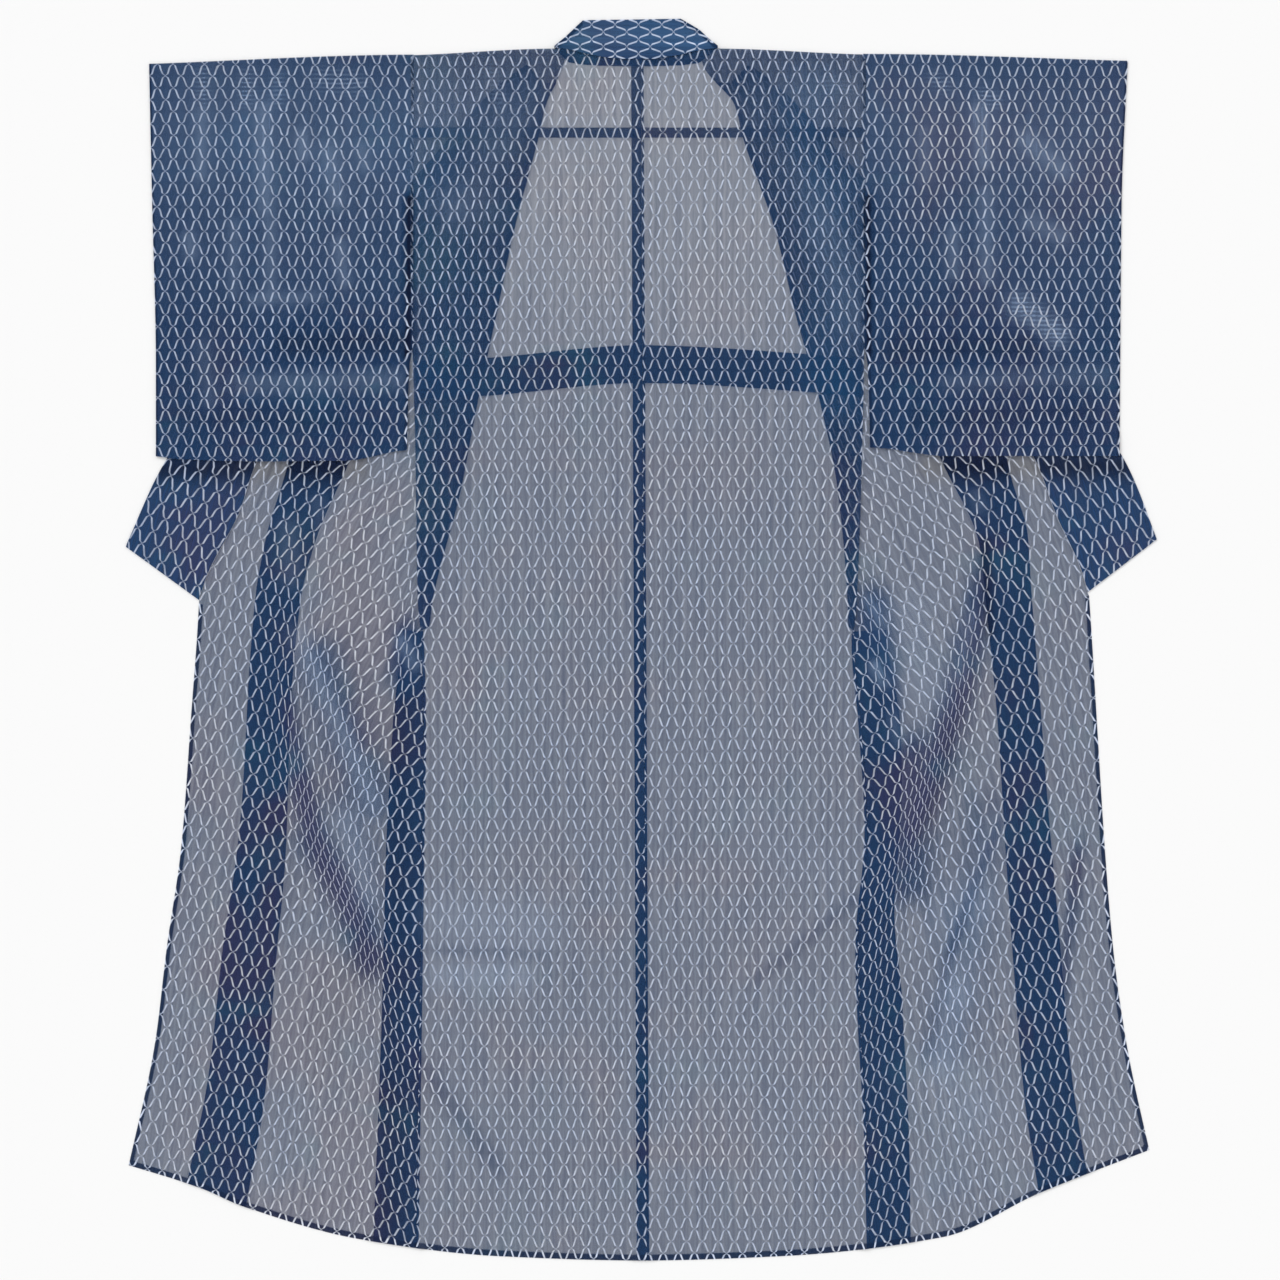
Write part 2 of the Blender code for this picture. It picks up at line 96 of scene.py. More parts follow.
SLEEVE_CUFF_EDGE = (
    (75.5, -64, 63.2), (57, -63.6, 62.4), (35.4, -63.1, 62.2), (23, -63.1, 62.1),
)
SLEEVE_BODY_EDGE = (
    (76.5, -30.04, 29.25), (51, -30.05, 29.2), (36, -30.15, 29.4), (24, -30.5, 29.75),
)

# The same edge, but reaching under the back down to where it comes out beside it
SLEEVE_SEWN_EDGE = (
    (76.5, -29.59, 28.8), (38.5, -29.72, 28.95), (35.6, -30.15, 29.4), (24, -30.5, 29.75),
)

# Columns are the level y on the collar's seam, then how much higher its outer edge is
COLLAR_RISE = (
    (76, 0.9), (69.5, 3.1), (58.5, 3.7), (26.5, 4.8), (16.5, 6.3), (5.4, 6.9),
)

# Columns are the level y, then the width on the left and on the right
OKUMI_ALLOWANCE = (
    (24, 7.5, 8.2), (16.3, 6.4, 6.3), (4.6, 5.5, 5.6), (-10.7, 5.3, 5.3), (-42.6, 6.6, 5.8),
    (-76, 7.4, 6),
)
SIDE_ALLOWANCE = (
    (0, 2.4, 4.2), (-11, 4, 5.1), (-30, 4.7, 4.2), (-48, 4.9, 5.6), (-80, 5.6, 5.4),
)

# Columns are x and the level y
HEM = (
    (-67.5, -68), (-57.1, -71.3), (-51.8, -73.6), (-36.5, -77.9), (-18.4, -80.1), (0, -80.65),
    (18, -80.1), (39.2, -77.6), (51.9, -71.8), (67, -65.9),
)
SHOULDER_AND_NECK = (
    (-68, 75.2), (-30.1, 76), (-11.2, 76.85), (-8, 76.7), (-2.5, 76.1), (1.8, 76.1), (6.8, 76.7),
    (9.8, 76.85), (29.2, 76.1), (68, 75.6),
)
SLEEVE_TOP = (
    (-64, 74.8), (-30, 76), (29.2, 76.1), (63.2, 75.2),
)
SLEEVE_BOTTOM = (
    (-63.3, 23.9), (-60, 23.5), (-50.2, 23.2), (-38.5, 23.3), (-30, 24.7), (29.7, 25),
    (39.7, 23.9), (62.3, 23.9),
)
WAIST_TUCK_TOP = (
    (-30, 36.2), (-21, 36.6), (0, 38.3), (21, 37.2), (30, 36.3),
)
NECK_TUCK_TOP = (
    (-30, 66.6), (0, 66.6), (30, 66.6),
)

# Columns are x, then the levels of the neck collar's seam, of its hidden edge and of its fold
COLLAR_AT_NECK = (
    (-11.3, 76.93, 76.93, 77), (-9.5, 76.75, 75.1, 78.65), (-7.6, 76.3, 74.8, 80.45),
    (-5, 75.75, 74.65, 80.5), (-2.5, 75.5, 74.6, 80.53), (0, 75.5, 74.6, 80.57),
    (1.8, 75.5, 74.6, 80.6), (5.1, 76.05, 74.7, 80.65), (7.5, 76.65, 75, 79.25),
    (9.9, 76.93, 76.93, 77),
)

# Columns are the level y and the centre seam's x
CENTRE_SEAM = (
    (76, -0.05), (24.6, 0.2), (-81, 0.7),
)

# In centimetres
GARMENT_LENGTH = 156
WAIST_TUCK_DEPTH = 4.9
NECK_TUCK_DEPTH = 1.3
CENTRE_ALLOWANCE = 1.3
UNDER_THE_OTHER_SIDE = 0.3

# Where the rows of the body's panels fall, from the hem at 0 to the shoulder at 1
COLLAR_END_ROW, COLLAR_POINT_ROW, FOLD_TOP_ROW = 0.521, 0.886, 0.972
OKUMI_ALLOWANCE_TOP_ROW = 0.75

# Columns are x and y at one end, x and y at the other, the height and the half width
SOFT_FOLDS = (
    (-42, 0, -33.2, -20.3, 0.45, 5), (-45.4, -10.7, -34.4, -45.3, 0.4, 5.5),
    (44, 2.5, 33.9, -26.7, 0.5, 5.5), (45.6, -24.5, 38.2, -42.6, 0.35, 5),
    (-28.5, -55.8, -20, -66.5, 0.35, 5), (28, -34.6, 17.4, -42.6, 0.35, 5),
)
SMALL_CREASES = (
    (-44, 2, -35.5, -19, 0.62, 1.9), (-45.9, -9.5, -38, -33, 0.58, 1.5),
    (44.6, 10, 39.8, -8, 0.55, 1.6), (40.5, -7, 35, -29, 0.64, 1.7),
    (45.3, -25.5, 38.4, -49, 0.52, 2), (57.2, -22, 56, -49, 0.22, 1.1),
    (-31.2, 0.4, -31.6, -5.5, 0.66, 1.3), (30.4, 4.6, 31, -3, 0.66, 1.3),
    (-29, -54.5, -19.5, -67.5, 0.46, 1.3), (28, -33.5, 16.5, -43, 0.44, 1.3),
    (-24, -30.5, -12, -31.5, 0.16, 2.4), (-25, -39.5, -10.5, -41.5, 0.22, 2),
    (-22, -46.5, -13, -47.5, 0.16, 1.6), (6.5, -21.5, 20, -24, 0.16, 2.6),
    (-56, -28, -58.5, -52, 0.2, 1.6),
)
SLEEVE_CREASES = (
    (-61, 37.6, -40, 38.6, 0.26, 1.1), (-57, 33.6, -34, 34.3, 0.3, 1),
    (-62, 30.2, -47, 30.9, 0.22, 0.9), (-52, 28, -33, 28.6, 0.24, 1),
    (-62.5, 41.8, -50, 41.2, 0.18, 1), (-33, 52, -36.5, 40, 0.22, 1.2),
    (33, 37.4, 55, 38.4, 0.26, 1), (38, 33, 60, 33.8, 0.28, 1.1),
    (31.5, 30.4, 48, 29.6, 0.22, 0.9), (45, 27.8, 60.5, 28.4, 0.22, 0.9),
    (32, 53, 34.5, 40.5, 0.22, 1.2),
)

# Columns are the ends, the half width, how much the net closes up, and how much denser it is
GATHERS = (
    (-46, -8.9, -44.6, -17.2, 0.9, 0.3, 0.8), (-44.6, -17.2, -42.4, -26.1, 1.1, 0.3, 0.9),
    (-42.4, -26.1, -37.4, -34.6, 1.5, 0.4, 0.9), (-37.4, -34.6, -35.2, -41.5, 1.6, 0.4, 0.9),
    (-42.2, -2, -37, -13, 1.3, 0.4, 0.6), (-38.8, -20, -34.8, -33.5, 1.8, 0.4, 0.3),
    (-42.5, -2, -35, -21, 2.8, 0.1, 0.42), (45.4, 10.3, 41, -7.4, 1.3, 0.3, 0.9),
    (41, -7.4, 38.7, -15, 1.3, 0.4, 0.9), (38.7, -15, 34.4, -26.1, 1.6, 0.4, 0.9),
    (35.4, -14.5, 34.2, -31.5, 2.2, 0.2, 0.75), (46, -24.9, 40.4, -40, 0.6, 0.2, 0.65),
    (45.2, -22, 42.4, -40, 2.2, 0.1, 0.26), (40.4, -40, 37.6, -53, 0.9, 0.2, 0.34),
    (42.8, -38, 39.6, -53, 2.2, 0.1, 0.2), (56.7, -28.3, 54.5, -47, 0.6, 0.3, 0.5),
    (-30.6, 0.2, -31, -4, 1.2, 0.6, 0.9), (30, 4.4, 31, -3, 1.5, 0.7, 1),
    (32.4, -3, 33, -9, 0.6, 0.2, 0.7), (-29, -54.5, -19.5, -67.5, 0.7, 0.3, 0.5),
    (28, -33.5, 16.5, -43, 0.6, 0.2, 0.4), (-25.5, -40.3, -14, -40.9, 0.5, 0.1, 0.3),
)

# Painted light and shade: columns are the ends and the half width of a patch, and how much paler,
# as a painted highlight, or deeper, as painted shade, it looks
PAINTED_LIGHT_AND_SHADE = (
    (-44.5, 0.5, -35, -20.7, 1.5, 0.34), (-38.5, -23.5, -35.3, -33, 1.9, 0.36),
    (-33, -38, -31, -52, 1.8, 0.1), (34.5, 4, 37, -6.5, 3, 0.22),
    (45.8, -23.5, 44, -34.6, 1.7, 0.16), (44.4, -33.6, 41, -45.8, 2.4, 0.22),
    (40.8, -45.8, 39, -55, 2.2, 0.3), (37, -58, 46, -61, 5, 0.1), (42.8, 3, 41.2, -5, 1, 0.18),
    (-26, -36, -14, -37, 3.6, 0.27), (-26.5, -43.6, -15.5, -43.8, 1.9, 0.34),
    (12, -22, 24, -30, 3.5, 0.08), (-31.2, -0.2, -29.4, -3.2, 1, 0.3),
    (29.4, 5.2, 31.4, 2.2, 0.9, 0.22), (44.7, 12.8, 45.3, 1, 0.7, -0.75),
    (-31.4, -8, -32.6, -76, 2.3, -0.22), (30.2, -3.4, 31.4, -5.6, 0.8, 0.42),
    (-57.2, 68.5, -57.2, 60.5, 0.9, 0.26), (-49.3, 69, -48.8, 56, 1.1, 0.34),
    (-44.3, 65.5, -43.9, 63, 0.9, 0.32), (-40.6, 63.5, -39.6, 57, 1.2, 0.3),
    (-36.4, 64, -36, 61.5, 0.8, 0.24), (-58.9, 52.3, -58.4, 50.2, 0.9, 0.32),
    (-53, 54, -53, 45, 0.8, 0.22), (-48.2, 54, -48.2, 45, 0.9, 0.26),
    (-39.3, 51.5, -38.6, 46.5, 1, 0.3), (-50.5, 44.2, -42, 44.6, 0.9, 0.24),
    (-57, 38, -56, 30, 1.2, 0.16), (-52, 33.2, -32, 33.9, 1.5, 0.26),
    (-46, 38.4, -31.5, 38.7, 1.7, -0.42), (-60, 29, -40, 28.4, 1.3, -0.22),
    (43.9, 69, 44.5, 62, 1, 0.36), (50, 65, 54.8, 61, 1.3, 0.34),
    (50.5, 54.5, 54.5, 52.5, 1.3, 0.32), (40.5, 53, 40.5, 47.5, 0.9, 0.28),
    (44.8, 58, 44.8, 47, 1.1, 0.3), (49, 43.5, 54, 39.5, 1.5, 0.34), (36.5, 66, 37, 60, 0.9, 0.18),
    (33, 37.6, 50, 38.4, 1.5, -0.36), (40, 33.6, 60, 34.4, 1.4, 0.18),
    (36, 28.6, 58, 29.4, 1.3, -0.22), (-26, 57, -20, 56, 2.6, 0.14),
    (23.5, 53, 27.5, 41, 2.4, 0.16), (-8, 78.6, 8, 78.6, 2.4, 0.11), (-56, 67, -36, 65, 11, 0.2),
    (-56, 50, -36, 48, 8, 0.07), (36, 67, 56, 65, 11, 0.19), (-38, -42, -41, -53, 3.4, -0.18),
    (-38.5, 14, -36, -4, 3.6, -0.07), (41, -31, 39, -37, 1.6, 0.1), (36, 50, 56, 48, 8, 0.06),
    (24, 58, 26.5, 42, 3.5, 0.07), (32.6, -10.4, 33.4, -13, 0.9, 0.24),
    (-30.25, 57.5, -30.3, 37, 0.38, -1.3), (29.5, 57.5, 29.5, 37, 0.38, -1.3),
    (43.4, 19, 43.9, 17.4, 1, 0.28), (-46, 14.5, -45.6, 8, 1.4, 0.24),
    (-42, 18, -41, 13, 1.2, 0.2), (-25, 70, -19, 68, 5, 0.17), (-14.5, 71.5, -24, 56, 2.8, 0.16),
    (18, 71, 26, 71, 4, 0.08), (15, 70, 23.5, 56, 2.8, 0.13),
)

# The same for what lies under the sleeves, where their lower edges shade it
SLEEVE_SHADOW = (
    (-63, 22.4, -37, 22.4, 1.9, -0.85), (37.5, 22.6, 63, 22.6, 1.9, -0.85),
)

# The same for how much greyer the ground looks, or bluer below zero
GREYER = (
    (-38, 12, -36, -10, 6, 0.5), (-42, -46, -38, -72, 6, 0.55), (-54, -10, -57, -60, 4, 0.25),
    (-41.5, -3, -34.5, -22, 3, -0.7), (36, 3, 36, -6, 4, -0.5), (39, -12, 37, -24, 3, 0.15),
    (41, -36, 42, -70, 6, -0.4), (44, -32, 39, -55, 3, -0.4), (-30.8, 0, -31.2, -5, 2.2, -0.8),
    (30.4, 4.4, 31.6, -4, 2.2, -0.75), (-8, 78.6, 8, 78.6, 2.5, -0.7),
    (-24, 70, -27, 34, 6.5, -0.6), (22, 70, 26, 34, 6.5, -0.65), (-56, 65, -36, 62, 11, -0.45),
    (40, 65, 58, 60, 9, 0.25), (36, 34, 60, 30, 8, 0.2), (-47.5, -22, -49, -50, 1.8, 0.5),
    (-63, 18, -54, 10, 4, 0.22), (-26, -37, -14, -38, 4, -0.3),
    (-26.5, -43.7, -15.5, -43.8, 2, -0.5),
)

# The same for how strongly two leaves' weft shows as dashes, a moiré that is painted in the pale
# highlight colour as glints
RIPPLED = (
    (-57, 73.5, -57, 70.5, 0.9, 1), (-51.2, 73.2, -51.2, 70.3, 1, 1),
    (-47.3, 73, -47.3, 70.3, 0.9, 1), (-41.5, 73, -37, 72.3, 1.3, 1),
    (-19.5, 73.8, -18.5, 70, 0.9, 1), (49.5, 43.5, 54, 40, 1.7, 1), (38, 73, 39.5, 72, 0.9, 1),
    (44.5, 71, 46, 70, 0.9, 1), (24, 72.5, 27, 71.5, 0.8, 1),
)

# Columns are the level y, then the net's tilt in degrees outside and inside the turning line
NET_TILT = (
    (77, 27, 27), (24, 26, 27), (14, 19, 26), (5, 14, 24), (-8, 11, 19), (-20, 9, 10), (-32, 8, 5),
    (-45, 8, 3), (-80, 8, 3),
)

# Columns of the net's two guides down a front: the column of NET_TILT that it follows, and
# the level and the x on the left and right where it passes
GUIDES = (
    (1, (22, -38.8, 39.9)),
    (2, (-12, -36, 34.5)),
)
TURNING_TOP = 22

# Columns are the level y, then x of the line down each front where the net's tilt changes,
# which takes this width, in centimetres
TURNING_LINE = (
    (30, -33, 38), (20, -38, 41.5), (10, -42.5, 44.9), (0, -44.8, 42.3), (-10.7, -45.4, 39.7),
    (-24.5, -42.6, 35.4), (-40, -35.8, 31.5), (-60, -31, 29),
)
TURNING_WIDTH = 3.2

# Columns are the level y and how much denser, or thinner, a single layer looks there
LAYER_DENSITY = (
    (77, -0.44), (55, -0.36), (40, -0.22), (25, -0.02), (-30, 0.02), (-60, -0.03), (-80, -0.05),
)

# About how long and wide the sheets are, in centimetres, for the count of their cells
ALLOWANCE_WIDTH = 6
FRONT_WIDTH, TURNED_LEAF_WIDTH = 20, 14
OKUMI_WIDTH, COLLAR_WIDTH = 12, 8
SLEEVE_LENGTH, SLEEVE_WIDTH = 51, 33
TUCK_LENGTH, BACK_WIDTH = 29, 29.5
NECK_ROWS = 9

# Columns of COLLAR_AT_NECK
NECK_SEAM, NECK_HIDDEN_EDGE, NECK_FOLD = 1, 2, 3

# How much of the tables' height the small creases keep, and how much is left at their ends
SMALL_CREASE_SHARE, SLEEVE_CREASE_SHARE = 0.6, 0.55
CREASE_END = 0.15

# Maps of height: a cell's size and the first one's place, in metres, the map's shape, the steps
# in which a sheet is followed over it, and the cells over which a step down is softened
MAP_STEP = 0.0025
MAP_CORNER = np.array([-0.70, -0.84])
MAP_SHAPE = (664, 560)
COVERING_STEP = 0.7 * MAP_STEP
SOFTENING = 3

# How far past its ends a gather draws the net in and makes it denser, in metres, and how far
# beside its line it draws, in half widths
DRAWN_PAST, DENSE_PAST = 7 * CM, 2.5 * CM
DRAWN_BESIDE = 5

# The size in metres and the seed of the patches of colour and of the net's wandering, and how
# far that goes
TONE_PATCHES, HUE_PATCHES = (0.045, 1), (0.060, 2)
WANDER_PATCHES = (0.050, 5), (0.065, 6)
WANDER = 0.0060

# How much closer cloth moves the hue
CLOSENESS_HUE = 0.5

# The width in metres that patches cover, the share of the wide ones, how large the fine ones
# are beside them and how far off they start, and how far chance moves both
PATCHED_WIDTH = 1.9
WIDE_SHARE, FINE_SIZE, FINE_OFFSET = 0.6, 0.55, 0.23
PATCH_OFFSET = 0.3

# Where the net starts on a piece, across and along, in metres, its stretch behind the neck, the
# levels of its guides in centimetres, and how many points are set against a guide at a time
COLLAR_NET, SLEEVE_NET = (0.004, 0.011), (0.0065, 0.012)
UNDER_SLEEVE_NET = 0.002
BACK_NET = {LEFT: (0.0, 0.0), RIGHT: (0.0127, 0.021)}
NECK_NET, NECK_REAR_NET = (0.009, 0.004), (0.003, 0.008)
NECK_NET_STRETCH = 1.06, 1.02
GUIDE_LEVELS = np.linspace(-95, 90, 741)
POINTS_AT_ONCE = 4096

# Where the doubled cloth of a turned edge ends, in metres, how much narrower it is on the front
# edge, on the cuff and beside the body, the level below which the sleeve has it there, and a
# distance that is far from any edge
# A turned edge stops more light, as doubled cloth, and is also painted with shade
TURNED_EDGE = 0.0065, 0.0085
FRONT_NARROWED, CUFF_NARROWED, OPENING_NARROWED = 0.0025, 0.0050, 0.0035
SLEEVE_TURNED_BELOW = 0.57
FAR = 0.1

# The dark edge of painted shade at the slanted ends of the neck collar's fold, which is level in
# between
NECK_EDGE_NARROWED, NECK_EDGE_SPREAD = 0.0035, 0.75
LEVEL_FOLD_MIDDLE, LEVEL_FOLD_HALF = -0.0115, 0.062

# A front looks denser within this many metres of its fold line, and the backs gather less
FOLD_REACH, FOLD_CLOSENESS = 0.007, 0.5
BACK_CLOSENESS = 0.5

# Faces that meet at more than this angle keep a sharp edge
SHARP_ANGLE = np.radians(50)

# The floor, and the picture: its width in pixels, the size of a pixel on the cloth and the
# picture's middle, in metres, and the lens, the key light and the rays that take it
FLOOR_HALF = 9.0
PICTURE_WIDTH, PIXEL = 1280, 0.0013
PICTURE_MIDDLE = -0.0019
LENS, SENSOR_WIDTH, VIEW_DEPTH = 120.0, 36.0, 60.0
KEY_SPREAD, KEY_TILT = np.radians(35), np.radians((-38, -32, 0))
LAYERS_SEEN_THROUGH = 24
LIGHT_BOUNCES = 2

UV_NAME = "cloth"

# Each laid piece's map of the height of its upper side
tops = {}


def settings():
    return bpy.context.scene.kimono


# Shapes


def smooth(table, at, column=1):
    """A table's column read at a value of its first column, on a curve that never overshoots."""
    rows = np.array(sorted(table))
    x, y = rows[:, 0], rows[:, column]
    slope = np.diff(y) / np.diff(x)
    product = slope[:-1] * slope[1:]
    total = np.where(product > 0, slope[:-1] + slope[1:], 1.0)
    inner = np.where(product > 0, 2 * product / total, 0.0)
    tangent = np.concatenate([slope[:1], inner, slope[-1:]])
    at = np.clip(at, x[0], x[-1])
    k = np.clip(np.searchsorted(x, at) - 1, 0, len(x) - 2)
    step = x[k + 1] - x[k]
    t = (at - x[k]) / step
    start = (1 + 2 * t) * (1 - t) ** 2 * y[k] + t * (1 - t) ** 2 * step * tangent[k]
    end = t**2 * (3 - 2 * t) * y[k + 1] + t**2 * (t - 1) * step * tangent[k + 1]
    return start + end


def body_level(row, x):
    """The level of one row of the body's panels at x, between the hem and the shoulder."""
    return (1 - row) * smooth(HEM, x) + row * smooth(SHOULDER_AND_NECK, x)


def curve_of(table, column=1, shift=0.0):
    """A table's column as a function of its first column."""
    return lambda at: smooth(table, at, column) + shift


def row_edge(table, column=1, shift=0.0):
    """A column of x as a function of a row of the body's panels."""

    def x_at(row):
        x = smooth(table, 0.0, column)
        for _ in range(ROUNDS_TO_MEET):
            x = smooth(table, body_level(row, x), column)
        return x + shift

    return x_at


def joined(lower, upper, corner_row):
    """An edge that follows one function of a row up to a corner, and another one above it."""
    return lambda row: np.where(row < corner_row - SAME_ROW, lower(row), upper(row))


def cells_in(centimetres):
    """How many cells of cloth fit in a length."""
    return max(2, round(centimetres * CM / settings().cell_size))


def body_rows():
    """Every row that the panels share, so that their seams meet point to point."""
    stops = (0.0, COLLAR_END_ROW, COLLAR_POINT_ROW, FOLD_TOP_ROW, 1.0)
    runs = [
        np.linspace(a, b, cells_in((b - a) * GARMENT_LENGTH) + 1)[:-1]
        for a, b in zip(stops, stops[1:])
    ]
    return np.concatenate(runs + [[1.0]])


def rows_between(first, last):
    rows = body_rows()
    return rows[(rows >= first - SAME_ROW) & (rows <= last + SAME_ROW)]


def rows_under(end):
    rows = body_rows()
    return rows[rows < end - SAME_ROW]


def body_sheet(rows, left_x, right_x, width):
    """Points of a panel of the body, in metres, with its two edges as functions of a row."""
    share = np.linspace(0, 1, cells_in(width) + 1)
    x = (1 - share) * left_x(rows)[:, None] + share * right_x(rows)[:, None]
    return np.dstack([x, body_level(rows[:, None], x)]) * CM


def level_sheet(bottom, top, left, right, height, width):
    """Points of a panel between two level edges and two upright ones, each a function."""
    up = np.linspace(0, 1, cells_in(height) + 1)[:, None]
    along = np.linspace(0, 1, cells_in(width) + 1)[None, :]
    x = np.zeros((up.size, along.size))
    y = np.zeros((up.size, along.size))
    for _ in range(ROUNDS_TO_MEET):
        y = (1 - up) * bottom(x) + up * top(x)
        x = (1 - along) * left(y) + along * right(y)
    return np.dstack([x, y]) * CM


def side_name(base, side):
    return f"{base}_{'left' if side == LEFT else 'right'}"


def side_names(side, *bases):
    return [side_name(base, side) for base in bases]


def sign(side):
    """The direction away from the centre: -1 on the left and 1 on the right."""
    return -1 if side == LEFT else 1


def half_gap(side):
    return sign(side) * SEAM_HALF_GAP / CM


def left_first(side, outer, inner):
    """A side's outer and inner edge, the left one first."""
    return (outer, inner) if side == LEFT else (inner, outer)


def left_to_right(side, grid):
    """A grid whose columns run outward, with its columns from left to right."""
    return grid[:, ::-1] if side == LEFT else grid


# How the pieces lie on each other


def beside(points, ends):
    """How far along a line its nearest place to each point is, and how far away that is."""
    start, end = np.array(ends).reshape(2, 2) * CM
    along = end - start
    share = np.clip(((points - start) @ along) / (along @ along), 0, 1)
    return share, np.linalg.norm(points - start - share[..., None] * along, axis=-1)


def ridges(table):
    """A map of the height of a table's creases, as rounded ridges with faded ends."""
    rows, columns = np.indices(MAP_SHAPE)
    points = np.dstack([columns, rows]) * MAP_STEP + MAP_CORNER
    height = np.zeros(MAP_SHAPE)
    for *ends, tall, half_width in table:
        share, away = beside(points, ends)
        near = np.clip(1 - away / (half_width * CM), 0, 1)
        fade = np.maximum(1 - np.abs(2 * share - 1) ** 4, CREASE_END)
        height = np.maximum(height, tall * CM * near**2 * (3 - 2 * near) * fade)
    return height


def body_lift():
    """The soft folds and creases that run through the fronts and the back alike."""
    return ridges(SOFT_FOLDS) + SMALL_CREASE_SHARE * ridges(SMALL_CREASES)


def read_map(values, points, step=MAP_STEP):
    """A map read at points between its cells."""
    at = (points - MAP_CORNER) / step
    low = np.floor(at).astype(int)
    u, v = (at - low)[..., 0], (at - low)[..., 1]
    x = np.clip(low[..., 0], 0, values.shape[1] - 2)
    y = np.clip(low[..., 1], 0, values.shape[0] - 2)
    bottom = (1 - u) * values[y, x] + u * values[y, x + 1]
    top = (1 - u) * values[y + 1, x] + u * values[y + 1, x + 1]
    return (1 - v) * bottom + v * top


def middle_of(sheet, heights, wall=WALL):
    """Points halfway through a sheet's wall, where a map gives the height of its underside."""
    return np.dstack([sheet, read_map(heights, sheet) + wall / 2])


def finer(values, times):
    """A grid of values with that many steps in each cell, straight between the known ones."""
    for axis in (0, 1):
        count = values.shape[axis]
        at = np.linspace(0, count - 1, (count - 1) * times + 1)
        low = np.minimum(at.astype(int), count - 2)
        share = np.expand_dims(at - low, axis=tuple(i for i in range(values.ndim) if i != axis))
        first = np.take(values, low, axis=axis)
        values = first + share * (np.take(values, low + 1, axis=axis) - first)
    return values


def covered(sheet):
    """The cells of a height map that a sheet covers."""
    steps = [np.linalg.norm(np.diff(sheet, axis=axis), axis=-1).max() for axis in (0, 1)]
    dense = finer(sheet, int(np.ceil(max(steps) / COVERING_STEP)))
    cell = np.rint((dense - MAP_CORNER) / MAP_STEP).astype(int)
    mask = np.zeros(MAP_SHAPE, bool)
    mask[cell[..., 1].ravel(), cell[..., 0].ravel()] = True
    return mask


def soften(heights):
    """A smooth surface that is nowhere under the given one, as cloth that bridges a step."""
    offsets = range(-SOFTENING, SOFTENING + 1)
    for axis in (0, 1):
        heights = np.maximum.reduce([np.roll(heights, k, axis) for k in offsets])
    weights = [1 + np.cos(np.pi * k / (SOFTENING + 1)) for k in offsets]
    for axis in (0, 1):
        parts = [w * np.roll(heights, k, axis) for k, w in zip(offsets, weights)]
        heights = sum(parts) / sum(weights)
    return heights


def lay(name, sheet, below, wall=WALL, lift=None):
    """The heights of a piece's underside where it lies on the pieces below, as a map."""
    missing = [piece for piece in below if piece not in tops]
    if missing:
        raise RuntimeError(f"{name} lies on {', '.join(missing)}: lay that first")
    heights = np.zeros(MAP_SHAPE)
    if below:
        heights = soften(np.maximum.reduce([tops[piece] for piece in below]))
    if lift is not None:
        heights = np.maximum(heights, lift)
    tops[name] = np.where(covered(sheet), heights + wall + GAP, 0.0)
    return heights


def turned_over(first, last, outward):
    """Points of the half circles in which cloth turns over from one row of points to another."""
    middle, half = (first + last) / 2, (last - first)[:, 2:] / 2
    up = np.array([0, 0, 1])
    return [
        middle + np.sin(a) * np.abs(half) * outward - np.cos(a) * half * up for a in TURN
    ]


def folded(lower, upper, turn=None):
    """The rows of two leaves as one sheet, which turns over from the lower to the upper one."""
    if turn is None:
        turn = np.repeat(upper[-1:], len(TURN), axis=0)
    return np.concatenate([lower, turn, upper[::-1]])[::-1]


# The net's place and the colours' on each piece


def patches(points, size, seed):
    """Smooth random patches of about the given size, from 0 to 1."""
    random = np.random.default_rng(seed)
    count = int(PATCHED_WIDTH / size) + 3
    values = random.random((count, count))
    near = points + PATCH_OFFSET * size * (random.random(2) - 0.5)
    wide = read_map(values, near, size)
    fine = read_map(values.T, near[..., ::-1] + FINE_OFFSET, size * FINE_SIZE)
    return WIDE_SHARE * wide + (1 - WIDE_SHARE) * fine


def gathered(points):
    """Points moved as the net closes up in the drapes, and how dense the cloth is there."""
    moved = points.copy()
    closeness = np.zeros(points.shape[:-1])
    for *ends, half_width, squeeze, dense in GATHERS:
        start, end = np.array(ends).reshape(2, 2) * CM
        length = np.linalg.norm(end - start)
        along = (end - start) / length
        across = np.array([along[1], -along[0]])
        share = ((points - start) @ along) / length
        away = ((points - start) @ across) / (half_width * CM)
        past = np.maximum(np.abs(share - 0.5) - 0.5, 0) * length
        fade = np.exp(-((past / DRAWN_PAST) ** 2)) * np.exp(-((away / DRAWN_BESIDE) ** 2))
        moved += (squeeze * half_width * CM * np.tanh(away) * fade)[..., None] * across
        near = np.exp(-(away**2) / 2) * np.exp(-((past / DENSE_PAST) ** 2))
        closeness = np.maximum(closeness, dense * near)
    return moved, closeness


def strokes(points, table):
    """How strongly a table's patches show at points, as soft strokes with faded ends."""
    shown = np.zeros(points.shape[:-1])
    for *ends, half_width, strength in table:
        away = beside(points, ends)[1]
        shown += strength * np.exp(-((away / (half_width * CM)) ** 2))
    return shown


def wandering(points):
    """Points moved a little, as the net never lies quite true."""
    moves = [patches(points, size, seed) - 0.5 for size, seed in WANDER_PATCHES]
    return points + WANDER * np.dstack(moves)


def guide_line(side, column, place):
    """A line down a front that follows the net's tilt through a place, from the hem up."""
    slope = -sign(side) * np.tan(np.radians(smooth(NET_TILT, GUIDE_LEVELS, column)))
    steps = (slope[:-1] + slope[1:]) / 2 * np.diff(GUIDE_LEVELS)
    x = np.concatenate([[0], np.cumsum(steps)])
    x += place[side] - np.interp(place[0], GUIDE_LEVELS, x)
    return np.stack([x, GUIDE_LEVELS], axis=1) * CM


